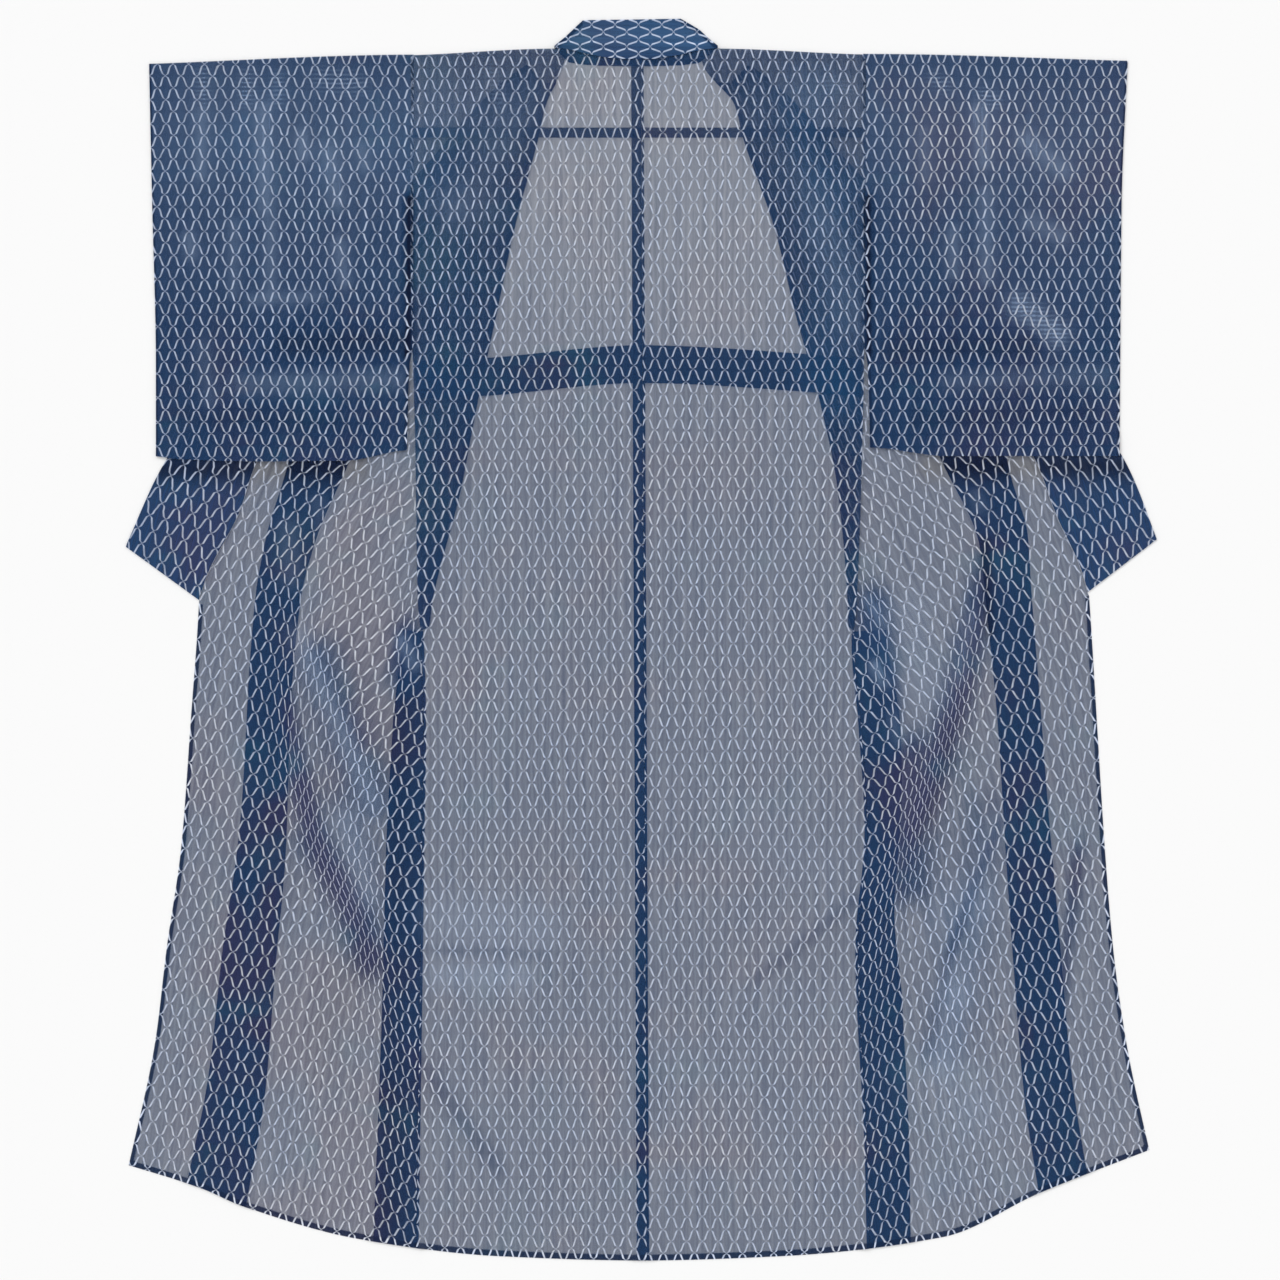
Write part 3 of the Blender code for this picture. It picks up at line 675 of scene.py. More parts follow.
def along_line(points, line):
    """Coordinates across and along a guide line, from the nearest place on it."""
    steps = np.diff(line, axis=0)
    lengths = np.linalg.norm(steps, axis=1)
    travelled = np.concatenate([[0], np.cumsum(lengths)])
    flat = points.reshape(-1, 2)
    nearest = np.empty(len(flat), int)
    for first in range(0, len(flat), POINTS_AT_ONCE):
        some = slice(first, first + POINTS_AT_ONCE)
        away = ((flat[some, None] - line[None, :-1]) ** 2).sum(axis=2)
        nearest[some] = away.argmin(axis=1)
    tangent = steps[nearest] / lengths[nearest][:, None]
    offset = flat - line[nearest]
    along = travelled[nearest] + (offset * tangent).sum(axis=1)
    across = offset[:, 0] * tangent[:, 1] - offset[:, 1] * tangent[:, 0]
    return np.stack([across, along], axis=1).reshape(points.shape)


def on_front(side, points, places):
    """The net's place on a front: it tilts more inside the turning line, and closes up on it."""
    meeting = np.array([[smooth(TURNING_LINE, TURNING_TOP, side), TURNING_TOP]]) * CM
    outside, inside = (
        along_line(points, line) - along_line(meeting, line)[0]
        for line in (guide_line(side, column, place) for column, place in GUIDES)
    )
    line = smooth(TURNING_LINE, places[..., 1] / CM, side)
    beyond = -sign(side) * (places[..., 0] / CM - line)
    share = 0.5 + 0.5 * np.tanh(beyond / TURNING_WIDTH)[..., None]
    return (1 - share) * outside + share * inside


def net_and_facts(sheet, from_edge=FAR):
    """The net's place on a sheet, and how close it is and how far from an edge as facts."""
    moved, closeness = gathered(sheet)
    facts = {
        "closeness": closeness + smooth(LAYER_DENSITY, sheet[..., 1] / CM),
        "from_edge": np.broadcast_to(from_edge, sheet.shape[:2]),
    }
    return wandering(moved), facts


def from_hem(rows, sheet):
    """How far each point of a panel of the body is from the hem, in metres."""
    return np.broadcast_to(rows[:, None], sheet.shape[:2]) * GARMENT_LENGTH * CM


# Pieces


def cloth(name, points, net, materials, wall=None, kept=None, **facts):
    """A closed shell of cloth from the grid of its middle surface, with its net's coordinates."""
    rows, columns = points.shape[:2]
    mesh = bmesh.new()
    bmesh.ops.create_grid(mesh, x_segments=columns - 1, y_segments=rows - 1, size=1.0)
    mesh.verts.index_update()
    place = mesh.verts.layers.int.new("place")
    for vertex in mesh.verts:
        vertex[place] = vertex.index
        vertex.co = points[vertex.index // columns, vertex.index % columns]
    if kept is not None:
        firsts = {face: min(v.index for v in face.verts) for face in mesh.faces}
        dropped = [f for f, k in firsts.items() if not kept(k // columns, k % columns)]
        bmesh.ops.delete(mesh, geom=dropped, context="FACES")
    data = bpy.data.meshes.new(name)
    mesh.to_mesh(data)
    mesh.free()
    places = np.empty(len(data.vertices), np.int32)
    data.attributes["place"].data.foreach_get("value", places)
    data.attributes.remove(data.attributes["place"])
    corners = np.empty(len(data.loops), np.int32)
    data.loops.foreach_get("vertex_index", corners)
    layer = data.uv_layers.new(name=UV_NAME)
    layer.uv.foreach_set("vector", net.reshape(-1, 2)[places][corners].astype(np.float32).ravel())
    on_top = name.startswith(("sleeve", "back"))
    flat = points[..., :2]
    facts["tone"] = patches(flat, *TONE_PATCHES)
    facts["hue"] = patches(flat, *HUE_PATCHES) + strokes(flat, GREYER)
    facts["hue"] += CLOSENESS_HUE * np.maximum(facts["closeness"], 0)
    # Painted light and shade, with the painted shadow of the sleeves' lower edges on the pieces
    # beneath them
    facts["shade"] = strokes(flat, PAINTED_LIGHT_AND_SHADE if on_top else PAINTED_LIGHT_AND_SHADE + SLEEVE_SHADOW)
    facts["rippled"] = strokes(flat, RIPPLED)
    for fact, values in facts.items():
        attribute = data.attributes.new(fact, "FLOAT", "POINT")
        attribute.data.foreach_set("value", values.ravel()[places].astype(np.float32))
    for material in materials:
        data.materials.append(material)
    piece = bpy.data.objects.new(f"{name}_cloth", data)
    bpy.context.collection.objects.link(piece)
    thickness = piece.modifiers.new("Wall", "SOLIDIFY")
    thickness.thickness = settings().thickness if wall is None else wall
    thickness.offset = 0.0
    thickness.material_offset = 1
    return finished(piece)


def finished(piece):
    """The piece with its modifiers made part of its mesh, smooth but for its cut edges."""
    graph = bpy.context.evaluated_depsgraph_get()
    made = bpy.data.meshes.new_from_object(piece.evaluated_get(graph))
    piece.modifiers.clear()
    piece.data = made
    made.shade_smooth()
    made.set_sharp_from_angle(angle=SHARP_ANGLE)
    return piece


def carried(piece, node):
    """Attaches a piece to the root body and hides the part of the frame that it stands for."""
    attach(piece, "root")
    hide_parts(node)


def strip(side, seam, widths, rows, node):
    """A seam allowance pressed flat on the surface, from just past its seam outward."""
    seam_x = row_edge(seam, side)
    near = row_edge(seam, side, -sign(side) * UNDER_THE_OTHER_SIDE)

    def far(row):
        x = seam_x(row)
        return x + sign(side) * smooth(widths, body_level(row, x), side)

    pressed(body_sheet(rows, near, far, ALLOWANCE_WIDTH), side_name(node, side), side)


def pressed(sheet, name, side):
    """An allowance with its wrong side up, as a sheet that lies on the surface itself."""
    heights = lay(name, sheet, [])
    sheet = left_to_right(side, sheet)
    net, facts = net_and_facts(sheet)
    piece = cloth(name, middle_of(sheet, heights), net, wrong_side_up(), **facts)
    carried(piece, name)


def front_leaves(side):
    """The sheets of a front's leaf under the back and of its turned leaf."""
    outward = half_gap(side)
    side_x, fold_x = row_edge(SIDE_EDGE, side, outward), row_edge(FOLD_LINE, side)
    okumi_x, collar_x = (row_edge(t, side, -outward) for t in (OKUMI_SEAM, COLLAR_SEAM))
    inner = joined(side_x, fold_x, COLLAR_END_ROW)
    outer = joined(okumi_x, collar_x, COLLAR_POINT_ROW)
    under = body_sheet(rows_between(0.0, FOLD_TOP_ROW), inner, outer, FRONT_WIDTH)
    turned_x = row_edge(SIDE_EDGE, side, -outward)
    over = body_sheet(rows_between(COLLAR_END_ROW, 1.0), turned_x, fold_x, TURNED_LEAF_WIDTH)
    return under, over


def neck_leaf(edge_column):
    """One leaf of the neck collar, from the given lower edge up to the fold."""
    table = np.array(COLLAR_AT_NECK)
    ends = table[[0, -1], 0]
    x = np.linspace(*ends, cells_in(ends[1] - ends[0]) * 2)
    edge, fold = (np.interp(x, table[:, 0], table[:, c]) for c in (edge_column, NECK_FOLD))
    share = np.linspace(0, 1, NECK_ROWS)[:, None]
    y = (1 - share) * edge + share * fold
    return np.dstack([np.broadcast_to(x, y.shape), y]) * CM


# Materials


# Each finish has the settings of its ground's and threads' cover, how white its net is, and
# whether both faces of its shell share one layer
FINISHES = {
    "gauze": ("ground_cover", "thread_cover", 1.0, True),
    "sleeve": ("dense_cover", "dense_thread_cover", 0.85, True),
    "doubled": ("dense_cover", "dense_thread_cover", 0.60, False),
    "neck": ("dense_cover", "dense_thread_cover", 0.78, False),
}

# The range of a fact over which each of these comes in
VIOLET_HUE, BRIGHT_HUE, WHITE_HUE = (0.42, 1.05), (-0.40, 0.30), (0.30, 0.95)
TEAL_TONE = 0.55, 1.0
DIM_CLOSENESS = 0.1, 1.0
RIPPLE = 0.3, 0.9

# How strongly the facts show in the colour and in what the cloth stops: the painted shade on turned
# edges, the moiré dashes painted as pale glints, and the net's dimming where it closes up
PAINTED_EDGE_SHADE, RIPPLE_GLOW, DIMMING = 0.6, 0.5, 0.45
CLOSENESS_COVER, STREAK_COVER = 0.9, 0.55

# The net's line: its steady climb, its jump beside a knot and how far that reaches, in half
# cells, where its soft rim starts and ends, in half widths, and how it pales towards a knot,
# and then the streaks along the warp and the dashes of the weft
CLIMB, JUMP, JUMP_REACH = 0.54, 0.23, 0.17
LINE_RIM = 0.45, 1.55
KNOT_RANGE, KNOT_PALING = (0.62, 0.96), 0.55
STREAKS_ACROSS, STREAKS_ALONG = 300, 8
STREAK_BASE, STREAK_STRENGTH = 0.92, 0.4
RIPPLE_LENGTH = 0.0028

CLOTH_ROUGHNESS, CLOTH_SPECULAR = 0.82, 0.10
FLOOR_ROUGHNESS, FLOOR_SPECULAR = 0.9, 0.2

# The Mix node's sockets that hold colours
FIRST_COLOUR, SECOND_COLOUR, MIXED_COLOUR = 6, 7, 2


class Socket:
    """A socket of a material's nodes, so that shader maths reads as arithmetic."""

    def __init__(self, tree, socket):
        self.tree = tree
        self.socket = socket

    def maths(self, operation, first, second=0.0):
        options = {"operation": operation}
        node = add_node(self.tree, "ShaderNodeMath", options, {0: first, 1: second})
        return Socket(self.tree, node.outputs[0])

    def __add__(self, other):
        return self.maths("ADD", self, other)

    def __sub__(self, other):
        return self.maths("SUBTRACT", self, other)

    def __rsub__(self, other):
        return self.maths("SUBTRACT", other, self)

    def __mul__(self, other):
        return self.maths("MULTIPLY", self, other)

    def __truediv__(self, other):
        return self.maths("DIVIDE", self, other)

    def __abs__(self):
        return self.maths("ABSOLUTE", self)

    def folded(self, length):
        return self.maths("PINGPONG", self, length)

    def at_least(self, other):
        return self.maths("MAXIMUM", self, other)

    def between(self, low, high):
        """0 under low, 1 over high, and a smooth rise between them."""
        options = {"interpolation_type": "SMOOTHSTEP"}
        node = add_node(self.tree, "ShaderNodeMapRange", options, {0: self, 1: low, 2: high})
        return Socket(self.tree, node.outputs[0])

    __radd__ = __add__
    __rmul__ = __mul__


def add_node(tree, kind, options, inputs):
    """A node of a kind, with its options set first and then its sockets set or linked."""
    node = tree.nodes.new(kind)
    for option, value in options.items():
        setattr(node, option, value)
    for key, value in inputs.items():
        if isinstance(value, Socket):
            tree.links.new(value.socket, node.inputs[key])
        else:
            node.inputs[key].default_value = value
    return node


def fact(tree, name):
    node = add_node(tree, "ShaderNodeAttribute", {"attribute_name": name}, {})
    return Socket(tree, node.outputs["Fac"])


def noise(tree, x, y):
    axes = add_node(tree, "ShaderNodeCombineXYZ", {}, {0: x, 1: y})
    inputs = {"Vector": Socket(tree, axes.outputs[0]), "Scale": 1.0, "Detail": 0.0}
    node = add_node(tree, "ShaderNodeTexNoise", {"noise_dimensions": "2D"}, inputs)
    return Socket(tree, node.outputs["Fac"])


def blended(tree, share, first, second):
    """A mix of two colours, each a colour or a socket."""
    inputs = {"Factor": share, FIRST_COLOUR: first, SECOND_COLOUR: second}
    node = add_node(tree, "ShaderNodeMix", {"data_type": "RGBA"}, inputs)
    return Socket(tree, node.outputs[MIXED_COLOUR])


def net_lines(tree, look):
    """The net's strokes, which pale at their knots, its warp's streaks, and its weft's ripple."""
    plan = add_node(tree, "ShaderNodeUVMap", {"uv_map": UV_NAME}, {})
    axes = add_node(tree, "ShaderNodeSeparateXYZ", {}, {0: Socket(tree, plan.outputs["UV"])})
    u, v = Socket(tree, axes.outputs[0]), Socket(tree, axes.outputs[1])
    half_width, half_height = look.cell_width / 2, look.cell_height / 2
    along = v.folded(half_height) / half_height
    jumps = along.between(0.0, JUMP_REACH) + along.between(1.0 - JUMP_REACH, 1.0)
    wave = (along * CLIMB + jumps * JUMP) * half_width
    low, high = (look.line_width / 2 * share for share in LINE_RIM)
    lines = 1.0 - abs(u.folded(half_width) - wave).between(low, high)
    streaks = noise(tree, u * STREAKS_ACROSS, v * STREAKS_ALONG) - 0.5
    paled = 1.0 - abs(along * 2.0 - 1.0).between(*KNOT_RANGE) * KNOT_PALING
    lines = lines * (paled * (STREAK_BASE + streaks * STREAK_STRENGTH))
    return lines, streaks, v.folded(RIPPLE_LENGTH) / RIPPLE_LENGTH


def new_material(name, roughness, specular):
    """A material and its shader, with the gloss that is the same all over."""
    made = bpy.data.materials.new(name)
    made.use_nodes = True
    shader = made.node_tree.nodes["Principled BSDF"]
    shader.inputs["Roughness"].default_value = roughness
    shader.inputs["Specular IOR Level"].default_value = specular
    return made, shader


def gauze_face(finish, netted=True):
    """One face of a finish: the outer one has the net, and the inner one is plain."""
    name = f"{finish} {'outer' if netted else 'inner'} face"
    if name in bpy.data.materials:
        return bpy.data.materials[name]
    look = settings()
    *covers, white_lines, shared = FINISHES[finish]
    ground, thread = (getattr(look, cover) for cover in covers)
    if shared:
        ground, thread = (1.0 - (1.0 - whole) ** 0.5 for whole in (ground, thread))
    made, shader = new_material(name, CLOTH_ROUGHNESS, CLOTH_SPECULAR)
    tree = made.node_tree
    indigo, violet, bright, teal, painted_shade, pale, white, cool = (
        tuple(getattr(look, key)) + (1.0,)
        for key in ("indigo", "violet", "bright", "teal", "painted_shade", "pale", "white", "cool_white")
    )
    hue, shade, closeness = (fact(tree, key) for key in ("hue", "shade", "closeness"))
    turned = 1.0 - fact(tree, "from_edge").between(*TURNED_EDGE)
    colour = blended(tree, hue.between(*VIOLET_HUE), indigo, violet)
    colour = blended(tree, 1.0 - hue.between(*BRIGHT_HUE), colour, bright)
    colour = blended(tree, fact(tree, "tone").between(*TEAL_TONE), colour, teal)
    # Painted shade: deeper where the light and shade strokes are negative, and on turned edges
    colour = blended(tree, (0.0 - shade).at_least(turned * PAINTED_EDGE_SHADE), colour, painted_shade)
    closer = closeness * (CLOSENESS_COVER * ground)
    alpha = ground + closer + turned * (0.5 - ground / 2)
    if netted:
        lines, streaks, ripple = net_lines(tree, look)
        # Painted highlights: paler where the light and shade strokes are positive, away from turned
        # edges, and on the weft's moiré dashes, painted as glints
        rippled = fact(tree, "rippled") * ripple.between(*RIPPLE) * RIPPLE_GLOW
        colour = blended(tree, shade.at_least(0.0) * (1.0 - turned) + rippled, colour, pale)
        thinned = (0.0 - closer).at_least(0.0)
        alpha = alpha + streaks * (STREAK_COVER * ground) + lines * (thread - ground + thinned)
        threads = blended(tree, hue.between(*WHITE_HUE), cool, white)
        dimmed = 1.0 - closeness.between(*DIM_CLOSENESS) * DIMMING
        colour = blended(tree, lines * white_lines * dimmed, colour, threads)
    tree.links.new(colour.socket, shader.inputs["Base Color"])
    tree.links.new(alpha.socket, shader.inputs["Alpha"])
    return made


def both_faces(outer, inner=None):
    """The materials of a piece's outer and inner face, in one finish or in two."""
    return [gauze_face(outer), gauze_face(inner or outer, netted=False)]


def wrong_side_up():
    """The materials of a doubled piece that shows no net."""
    return [gauze_face("doubled", netted=False)] * 2


# Settings


class KimonoSettings(bpy.types.PropertyGroup):
    """The sizes and colours of the cloth and its stage."""

    cell_size: bpy.props.FloatProperty(
        name="Cell", description="Size of the cloth's mesh cells", default=0.0056, unit="LENGTH"
    )
    thickness: bpy.props.FloatProperty(
        name="Cloth", description="Thickness of one layer", default=0.0005, unit="LENGTH"
    )
    band_thickness: bpy.props.FloatProperty(
        name="Band", description="Thickness of the doubled collar", default=0.0015, unit="LENGTH"
    )
    cell_width: bpy.props.FloatProperty(
        name="Net width", description="Width of one cell of the net", default=0.0204, unit="LENGTH"
    )
    cell_height: bpy.props.FloatProperty(
        name="Net height", description="Height of one cell of the net",
        default=0.0310, unit="LENGTH",
    )
    line_width: bpy.props.FloatProperty(
        name="Net line", description="Width of the net's lines", default=0.0021, unit="LENGTH"
    )
    ground_cover: bpy.props.FloatProperty(
        name="Ground cover", description="Share of light that a layer stops", default=0.61,
        subtype="FACTOR", min=0.0, max=1.0,
    )
    thread_cover: bpy.props.FloatProperty(
        name="Thread cover", description="Share that the white threads stop", default=0.72,
        subtype="FACTOR", min=0.0, max=1.0,
    )
    dense_cover: bpy.props.FloatProperty(
        name="Dense cover", description="Share of light that a close layer stops", default=0.76,
        subtype="FACTOR", min=0.0, max=1.0,
    )
    dense_thread_cover: bpy.props.FloatProperty(
        name="Dense thread cover", description="Share that a close layer's threads stop",
        default=0.82, subtype="FACTOR", min=0.0, max=1.0,
    )
    indigo: bpy.props.FloatVectorProperty(
        name="Indigo", description="Colour of the ground",
        default=(0.017, 0.053, 0.142), subtype="COLOR",
    )
    violet: bpy.props.FloatVectorProperty(
        name="Violet", description="Colour where the ground is redder",
        default=(0.036, 0.044, 0.122), subtype="COLOR",
    )
    bright: bpy.props.FloatVectorProperty(
        name="Bright", description="Colour where the ground is bluer",
        default=(0.013, 0.073, 0.190), subtype="COLOR",
    )
    teal: bpy.props.FloatVectorProperty(
        name="Teal", description="Colour where the ground is greener",
        default=(0.018, 0.078, 0.165), subtype="COLOR",
    )
    # Painted shade: the colour of shaded creases, gaps and the sleeves' shadow, and of turned
    # edges, where the doubled cloth also stops more light
    painted_shade: bpy.props.FloatVectorProperty(
        name="Deep", description="Colour of turned edges and shaded creases",
        default=(0.003, 0.009, 0.035), subtype="COLOR",
    )
    pale: bpy.props.FloatVectorProperty(
        name="Pale", description="Colour where the cloth catches the light",
        default=(0.30, 0.41, 0.60), subtype="COLOR",
    )
    white: bpy.props.FloatVectorProperty(
        name="White", description="Colour of the net's threads",
        default=(0.84, 0.88, 0.97), subtype="COLOR",
    )
    cool_white: bpy.props.FloatVectorProperty(
        name="Cool white", description="Colour of the net's bluer threads",
        default=(0.71, 0.80, 1.00), subtype="COLOR",
    )
    floor_colour: bpy.props.FloatVectorProperty(
        name="Floor", description="Colour of the floor",
        default=(0.88, 0.88, 0.88), subtype="COLOR",
    )
    sky_light: bpy.props.FloatProperty(
        name="Sky", description="Strength of the light from all round", default=0.85
    )
    key_light: bpy.props.FloatProperty(
        name="Key", description="Strength of the soft light from the upper left", default=1.15
    )


# Operators


class KIMONO_OT_allowances(bpy.types.Operator):
    """Lays the pressed seam allowances that show through the gauze"""

    bl_idname = "kimono.allowances"
    bl_label = "Seam allowances"

    def execute(self, context):
        left = row_edge(CENTRE_SEAM, shift=-CENTRE_ALLOWANCE)
        right = row_edge(CENTRE_SEAM, shift=UNDER_THE_OTHER_SIDE)
        sheet = body_sheet(rows_under(1.0), left, right, CENTRE_ALLOWANCE)
        pressed(sheet, "centre_seam_allowance", RIGHT)
        side_rows = rows_under(COLLAR_END_ROW)
        okumi_rows = rows_between(0.0, OKUMI_ALLOWANCE_TOP_ROW)
        for side in SIDES:
            strip(side, SIDE_EDGE, SIDE_ALLOWANCE, side_rows, "side_allowance")
            strip(side, OKUMI_SEAM, OKUMI_ALLOWANCE, okumi_rows, "okumi_allowance")
        return {"FINISHED"}


class KIMONO_OT_fronts(bpy.types.Operator):
    """Lays the front panels, each turned over along its fold, and their overlap panels"""

    bl_idname = "kimono.fronts"
    bl_label = "Fronts"

    def execute(self, context):
        lift = body_lift()
        lay("neck_rear", neck_leaf(NECK_HIDDEN_EDGE), ["centre_seam_allowance"])
        for side in SIDES:
            strips = side_names(side, "side_allowance", "okumi_allowance")
            under, over = front_leaves(side)
            low = middle_of(under, lay(side_name("under_leaf", side), under, strips, lift=lift))
            self.okumi(side, strips[1:], lift)
            self.collar_end(side)
            below = side_names(side, "under_leaf", "okumi", "collar") + ["neck_rear"]
            high = middle_of(over, lay(side_name("over_leaf", side), over, below))
            self.front(side, low, high, strips)
        return {"FINISHED"}

    def okumi(self, side, below, lift):
        rows = rows_under(COLLAR_POINT_ROW)
        outward = half_gap(side)
        collar_x = row_edge(COLLAR_SEAM, side, -outward)
        outer = joined(row_edge(FRONT_EDGE, side), collar_x, COLLAR_END_ROW)
        sheet = body_sheet(rows, row_edge(OKUMI_SEAM, side, outward), outer, OKUMI_WIDTH)
        sheet = left_to_right(side, sheet)
        front_x = smooth(FRONT_EDGE, sheet[..., 1] / CM, side) * CM
        from_front = np.abs(sheet[..., 0] - front_x) + FRONT_NARROWED
        by_collar = rows[:, None] > COLLAR_END_ROW - SAME_ROW
        from_edge = np.minimum(from_hem(rows, sheet), np.where(by_collar, FAR, from_front))
        name = side_name("okumi", side)
        points = middle_of(sheet, lay(name, sheet, below, lift=lift))
        moved, facts = net_and_facts(sheet, from_edge)
        piece = cloth(name, points, on_front(side, moved, sheet), both_faces("gauze"), **facts)
        carried(piece, name)

    def collar_end(self, side):
        rows = rows_between(COLLAR_END_ROW, FOLD_TOP_ROW)
        x = row_edge(COLLAR_SEAM, side, half_gap(side))(rows)
        y = body_level(rows, x)
        outer_y = y + smooth(COLLAR_RISE, y)
        inner = np.stack([x, y], axis=1)[:, None]
        outer = np.stack([smooth(COLLAR_OUTER_EDGE, outer_y, side), outer_y], axis=1)[:, None]
        share = np.linspace(0, 1, cells_in(COLLAR_WIDTH) + 1)[None, :, None]
        sheet = left_to_right(side, ((1 - share) * inner + share * outer) * CM)
        name = side_name("collar", side)
        points = middle_of(sheet, lay(name, sheet, [], COLLAR_WALL), COLLAR_WALL)
        moved, facts = net_and_facts(sheet)
        net = on_front(side, moved, sheet) + COLLAR_NET
        thick = settings().band_thickness
        piece = cloth(name, points, net, both_faces("doubled"), thick, **facts)
        carried(piece, name)

    def front(self, side, low, high, below):
        """Both leaves as one sheet, turned over along the fold line."""
        rows = np.arange(len(body_rows()))
        first_high, last_low = len(rows) - len(high), len(low) - 1
        low_rows = np.minimum(rows, last_low)
        lower, upper = low[low_rows], high[np.maximum(rows - first_high, 0)]
        turn_start, turn_end = high.shape[1] - 1, high.shape[1] + len(TURN)
        turn = turned_over(upper[:, -1], lower[:, 0], (-sign(side), 0, 0))
        points = np.concatenate([upper, np.stack(turn, axis=1), lower], axis=1)
        sheet = low[..., :2]
        from_edge = from_hem(rows_between(0.0, FOLD_TOP_ROW), sheet)
        moved, low_facts = net_and_facts(sheet, from_edge)
        net_high = upper[..., :2]
        joint = np.repeat(net_high[:, -1:], len(TURN), axis=1)
        net = np.concatenate([net_high, joint, on_front(side, moved, sheet)[low_rows]], axis=1)
        facts = {"from_edge": np.full(net.shape[:2], FAR), "closeness": np.zeros(net.shape[:2])}
        for key, values in low_facts.items():
            facts[key][:, turn_end:] = values[low_rows]
        from_fold = np.linalg.norm(points[..., :2] - points[:, [turn_start + 1], :2], axis=-1)
        near = np.exp(-((from_fold / FOLD_REACH) ** 2))
        facts["closeness"] += FOLD_CLOSENESS * near * (rows >= first_high)[:, None]

        def kept(row, column):
            """Whether a face is cloth, as each leaf has only its own rows."""
            if side == LEFT:
                column = points.shape[1] - 2 - column
            if column < turn_start:
                return row >= first_high
            return row < last_low and (column >= turn_end or row >= first_high)

        points, net = left_to_right(side, points), left_to_right(side, net)
        facts = {key: left_to_right(side, values) for key, values in facts.items()}
        name = side_name("front", side)
        piece = cloth(name, points, net, both_faces("gauze"), kept=kept, **facts)
        carried(piece, name)


class KIMONO_OT_sleeves(bpy.types.Operator):
    """Lays the sleeves, each one strip turned over at the shoulder"""

    bl_idname = "kimono.sleeves"
    bl_label = "Sleeves"

    def execute(self, context):
        lift = ridges(SLEEVE_CREASES) * SLEEVE_CREASE_SHARE
        for side in SIDES:
            self.sleeve(side, lift)
        return {"FINISHED"}

    def sleeve(self, side, lift):
        cuff, body = (curve_of(t, side) for t in (SLEEVE_CUFF_EDGE, SLEEVE_BODY_EDGE))
        left, right = left_first(side, cuff, curve_of(SLEEVE_SEWN_EDGE, side))
        bottom, top = curve_of(SLEEVE_BOTTOM), curve_of(SLEEVE_TOP)
        sheet = level_sheet(bottom, top, left, right, SLEEVE_LENGTH, SLEEVE_WIDTH)
        below = side_names(side, "okumi_allowance", "under_leaf", "okumi", "collar")
        name = side_name("sleeve", side)
        low = middle_of(sheet, lay(name, sheet, below) + lift)
        high = low + (0, 0, WALL + GAP)
        points = folded(low, high, turned_over(low[-1], high[-1], (0, 1, 0)))
        x, y = sheet[..., 0], sheet[..., 1]
        from_cuff, from_body = (np.abs(x - edge(y / CM) * CM) for edge in (cuff, body))
        # The cuff and, below where the sleeve is sewn, the opening beside the body are turned
        # edges: denser, and painted with shade, which darkens the gap beside the body
        opening = np.where(y < SLEEVE_TURNED_BELOW, from_body + OPENING_NARROWED, FAR)
        from_edge = np.minimum(from_cuff + CUFF_NARROWED, opening)
        facts = {"closeness": np.zeros(points.shape[:2]), "from_edge": folded(from_edge, from_edge)}
        net_low = sheet * (1, -1) + (UNDER_SLEEVE_NET, 2 * y[-1, 0])
        net = folded(net_low, wandering(sheet) + SLEEVE_NET)
        piece = cloth(name, points, net, both_faces("sleeve"), **facts)
        carried(piece, name)


class KIMONO_OT_back(bpy.types.Operator):
    """Lays the tucks of the back, and then its two panels over everything"""

    bl_idname = "kimono.back"
    bl_label = "Back"

    def execute(self, context):
        lift = body_lift()
        for side in SIDES:
            self.tuck(side, "waist_tuck", WAIST_TUCK_TOP, WAIST_TUCK_DEPTH)
            self.tuck(side, "neck_tuck", NECK_TUCK_TOP, NECK_TUCK_DEPTH)
            self.panel(side, lift)
        return {"FINISHED"}

    def tuck(self, side, node, table, depth):
        outer = curve_of(SIDE_EDGE, side, -sign(side) * UNDER_THE_OTHER_SIDE)
        left, right = left_first(side, outer, curve_of(CENTRE_SEAM, shift=half_gap(side)))
        bottom, top = curve_of(table, shift=-depth), curve_of(table)
        sheet = level_sheet(bottom, top, left, right, depth, TUCK_LENGTH)
        name = side_name(node, side)
        below = [side_name("over_leaf", side), "centre_seam_allowance"]
        points = middle_of(sheet, lay(name, sheet, below, TUCK_WALL), TUCK_WALL)
        net, facts = net_and_facts(sheet)
        piece = cloth(name, points, net, wrong_side_up(), TUCK_THICKNESS, **facts)
        carried(piece, name)

    def panel(self, side, lift):
        outer = row_edge(SIDE_EDGE, side, -half_gap(side))
        left, right = left_first(side, outer, row_edge(CENTRE_SEAM, shift=half_gap(side)))
        rows = body_rows()
        sheet = body_sheet(rows, left, right, BACK_WIDTH)
        rests = side_names(side, "side_allowance", "waist_tuck", "neck_tuck", "sleeve")
        rests += ["centre_seam_allowance"]
        leaves = side_names(side, "under_leaf", "over_leaf") + ["neck_rear"]
        name = side_name("back", side)
        points = middle_of(sheet, lay(name, sheet, rests + leaves, lift=lift))
        facts = net_and_facts(sheet, from_hem(rows, sheet))[1]
        facts["closeness"] = facts["closeness"] * BACK_CLOSENESS
        net = wandering(sheet) + BACK_NET[side]
        piece = cloth(name, points, net, both_faces("gauze"), **facts)
        carried(piece, name)


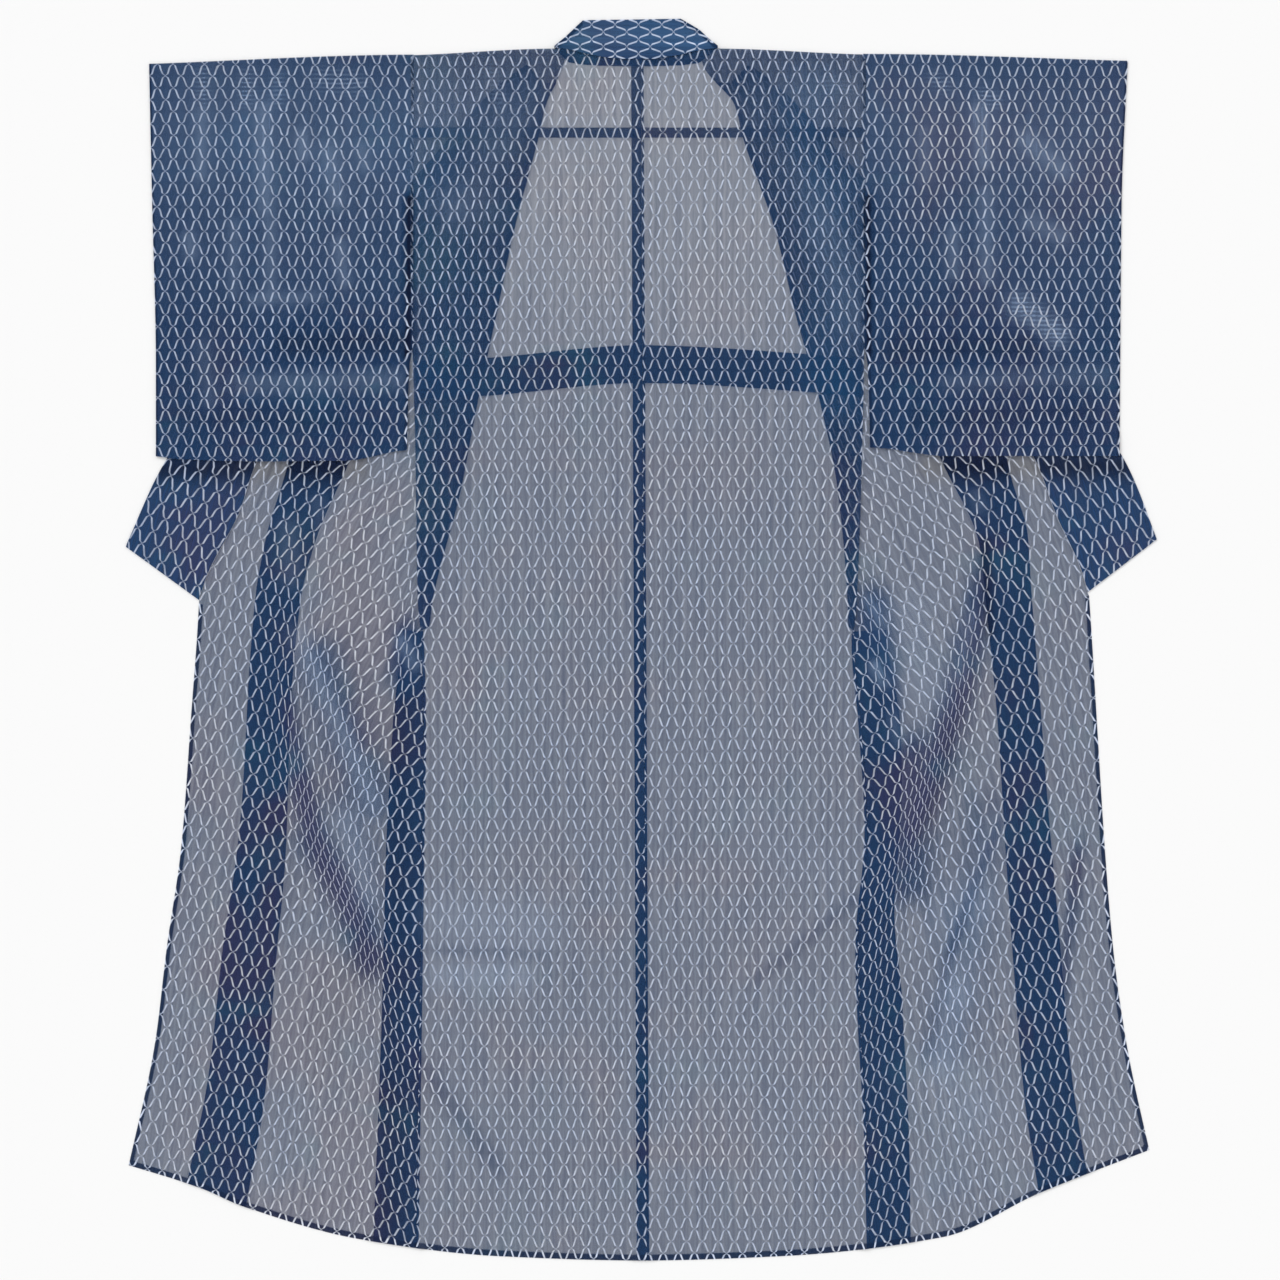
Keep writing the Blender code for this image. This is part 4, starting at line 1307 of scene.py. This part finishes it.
class KIMONO_OT_neck_collar(bpy.types.Operator):
    """Lays the collar behind the neck, folded in half over the back's edge"""

    bl_idname = "kimono.neck_collar"
    bl_label = "Neck collar"

    def execute(self, context):
        rear, face = neck_leaf(NECK_HIDDEN_EDGE), neck_leaf(NECK_SEAM)
        backs = ["back_left", "back_right"]
        low = middle_of(rear, lay("neck_rear", rear, ["centre_seam_allowance"]))
        high = middle_of(face, lay("neck_face", face, backs + ["neck_rear"]))
        points = folded(low, high, turned_over(low[-1], high[-1], (0, 1, 0)))
        face_net = face[..., ::-1] * NECK_NET_STRETCH + NECK_NET
        net = folded(rear[..., ::-1] + NECK_REAR_NET, face_net)
        # A band of painted shade along the fold's slanted ends, through the turned-edge fact
        from_fold = (face[-1, :, 1] - points[..., 1]) * NECK_EDGE_SPREAD + NECK_EDGE_NARROWED
        slanted = np.abs(face[0, :, 0] - LEVEL_FOLD_MIDDLE) > LEVEL_FOLD_HALF
        from_edge = np.where(slanted, np.maximum(from_fold, 0), FAR)
        facts = {"closeness": np.zeros(points.shape[:2]), "from_edge": from_edge}
        faces = both_faces("neck", "doubled")
        piece = cloth("collar_neck", points, net, faces, NECK_THICKNESS, **facts)
        carried(piece, "collar_neck")
        return {"FINISHED"}


class KIMONO_OT_stage(bpy.types.Operator):
    """Sets the pale floor, the soft light and the camera straight above"""

    bl_idname = "kimono.stage"
    bl_label = "Stage"

    def execute(self, context):
        look = settings()
        mesh = bmesh.new()
        bmesh.ops.create_grid(mesh, x_segments=2, y_segments=2, size=FLOOR_HALF)
        data = bpy.data.meshes.new("floor")
        mesh.to_mesh(data)
        mesh.free()
        made, shader = new_material("pale floor", FLOOR_ROUGHNESS, FLOOR_SPECULAR)
        shader.inputs["Base Color"].default_value = tuple(look.floor_colour) + (1.0,)
        data.materials.append(made)
        floor = bpy.data.objects.new("floor", data)
        context.collection.objects.link(floor)

        world = bpy.data.worlds.new("studio")
        world.use_nodes = True
        sky = world.node_tree.nodes["Background"]
        sky.inputs["Color"].default_value = (1.0, 1.0, 1.0, 1.0)
        sky.inputs["Strength"].default_value = look.sky_light
        context.scene.world = world

        sun = bpy.data.lights.new("key", "SUN")
        sun.energy = look.key_light
        sun.angle = KEY_SPREAD
        key = bpy.data.objects.new("key", sun)
        key.rotation_euler = KEY_TILT
        context.collection.objects.link(key)

        lens = bpy.data.cameras.new("camera")
        lens.lens = LENS
        lens.sensor_width = SENSOR_WIDTH
        lens.clip_end = VIEW_DEPTH
        camera = bpy.data.objects.new("camera", lens)
        height = PICTURE_WIDTH * PIXEL * LENS / SENSOR_WIDTH
        camera.location = (PICTURE_MIDDLE, 0.0, height)
        context.collection.objects.link(camera)
        context.scene.camera = camera
        context.scene.view_settings.view_transform = "Standard"
        context.scene.cycles.transparent_max_bounces = LAYERS_SEEN_THROUGH
        context.scene.cycles.max_bounces = LIGHT_BOUNCES
        return {"FINISHED"}


class KIMONO_PT_panel(bpy.types.Panel):
    """Lists the kimono's pieces and settings"""

    bl_idname = "KIMONO_PT_panel"
    bl_label = "Gauze kimono"
    bl_space_type = "VIEW_3D"
    bl_region_type = "UI"
    bl_category = "Kimono"

    def draw(self, context):
        for operator in OPERATORS:
            self.layout.operator(operator.bl_idname)
        for name in KimonoSettings.__annotations__:
            self.layout.prop(settings(), name)


OPERATORS = (
    KIMONO_OT_allowances,
    KIMONO_OT_fronts,
    KIMONO_OT_sleeves,
    KIMONO_OT_back,
    KIMONO_OT_neck_collar,
    KIMONO_OT_stage,
)
CLASSES = (KimonoSettings, *OPERATORS, KIMONO_PT_panel)


def register():
    for item in CLASSES:
        bpy.utils.register_class(item)
    bpy.types.Scene.kimono = bpy.props.PointerProperty(type=KimonoSettings)


def unregister():
    del bpy.types.Scene.kimono
    for item in reversed(CLASSES):
        bpy.utils.unregister_class(item)


def main():
    register()
    bpy.ops.kimono.allowances()
    bpy.ops.kimono.fronts()
    bpy.ops.kimono.sleeves()
    bpy.ops.kimono.back()
    bpy.ops.kimono.neck_collar()
    bpy.ops.kimono.stage()


if __name__ == "__main__":
    main()
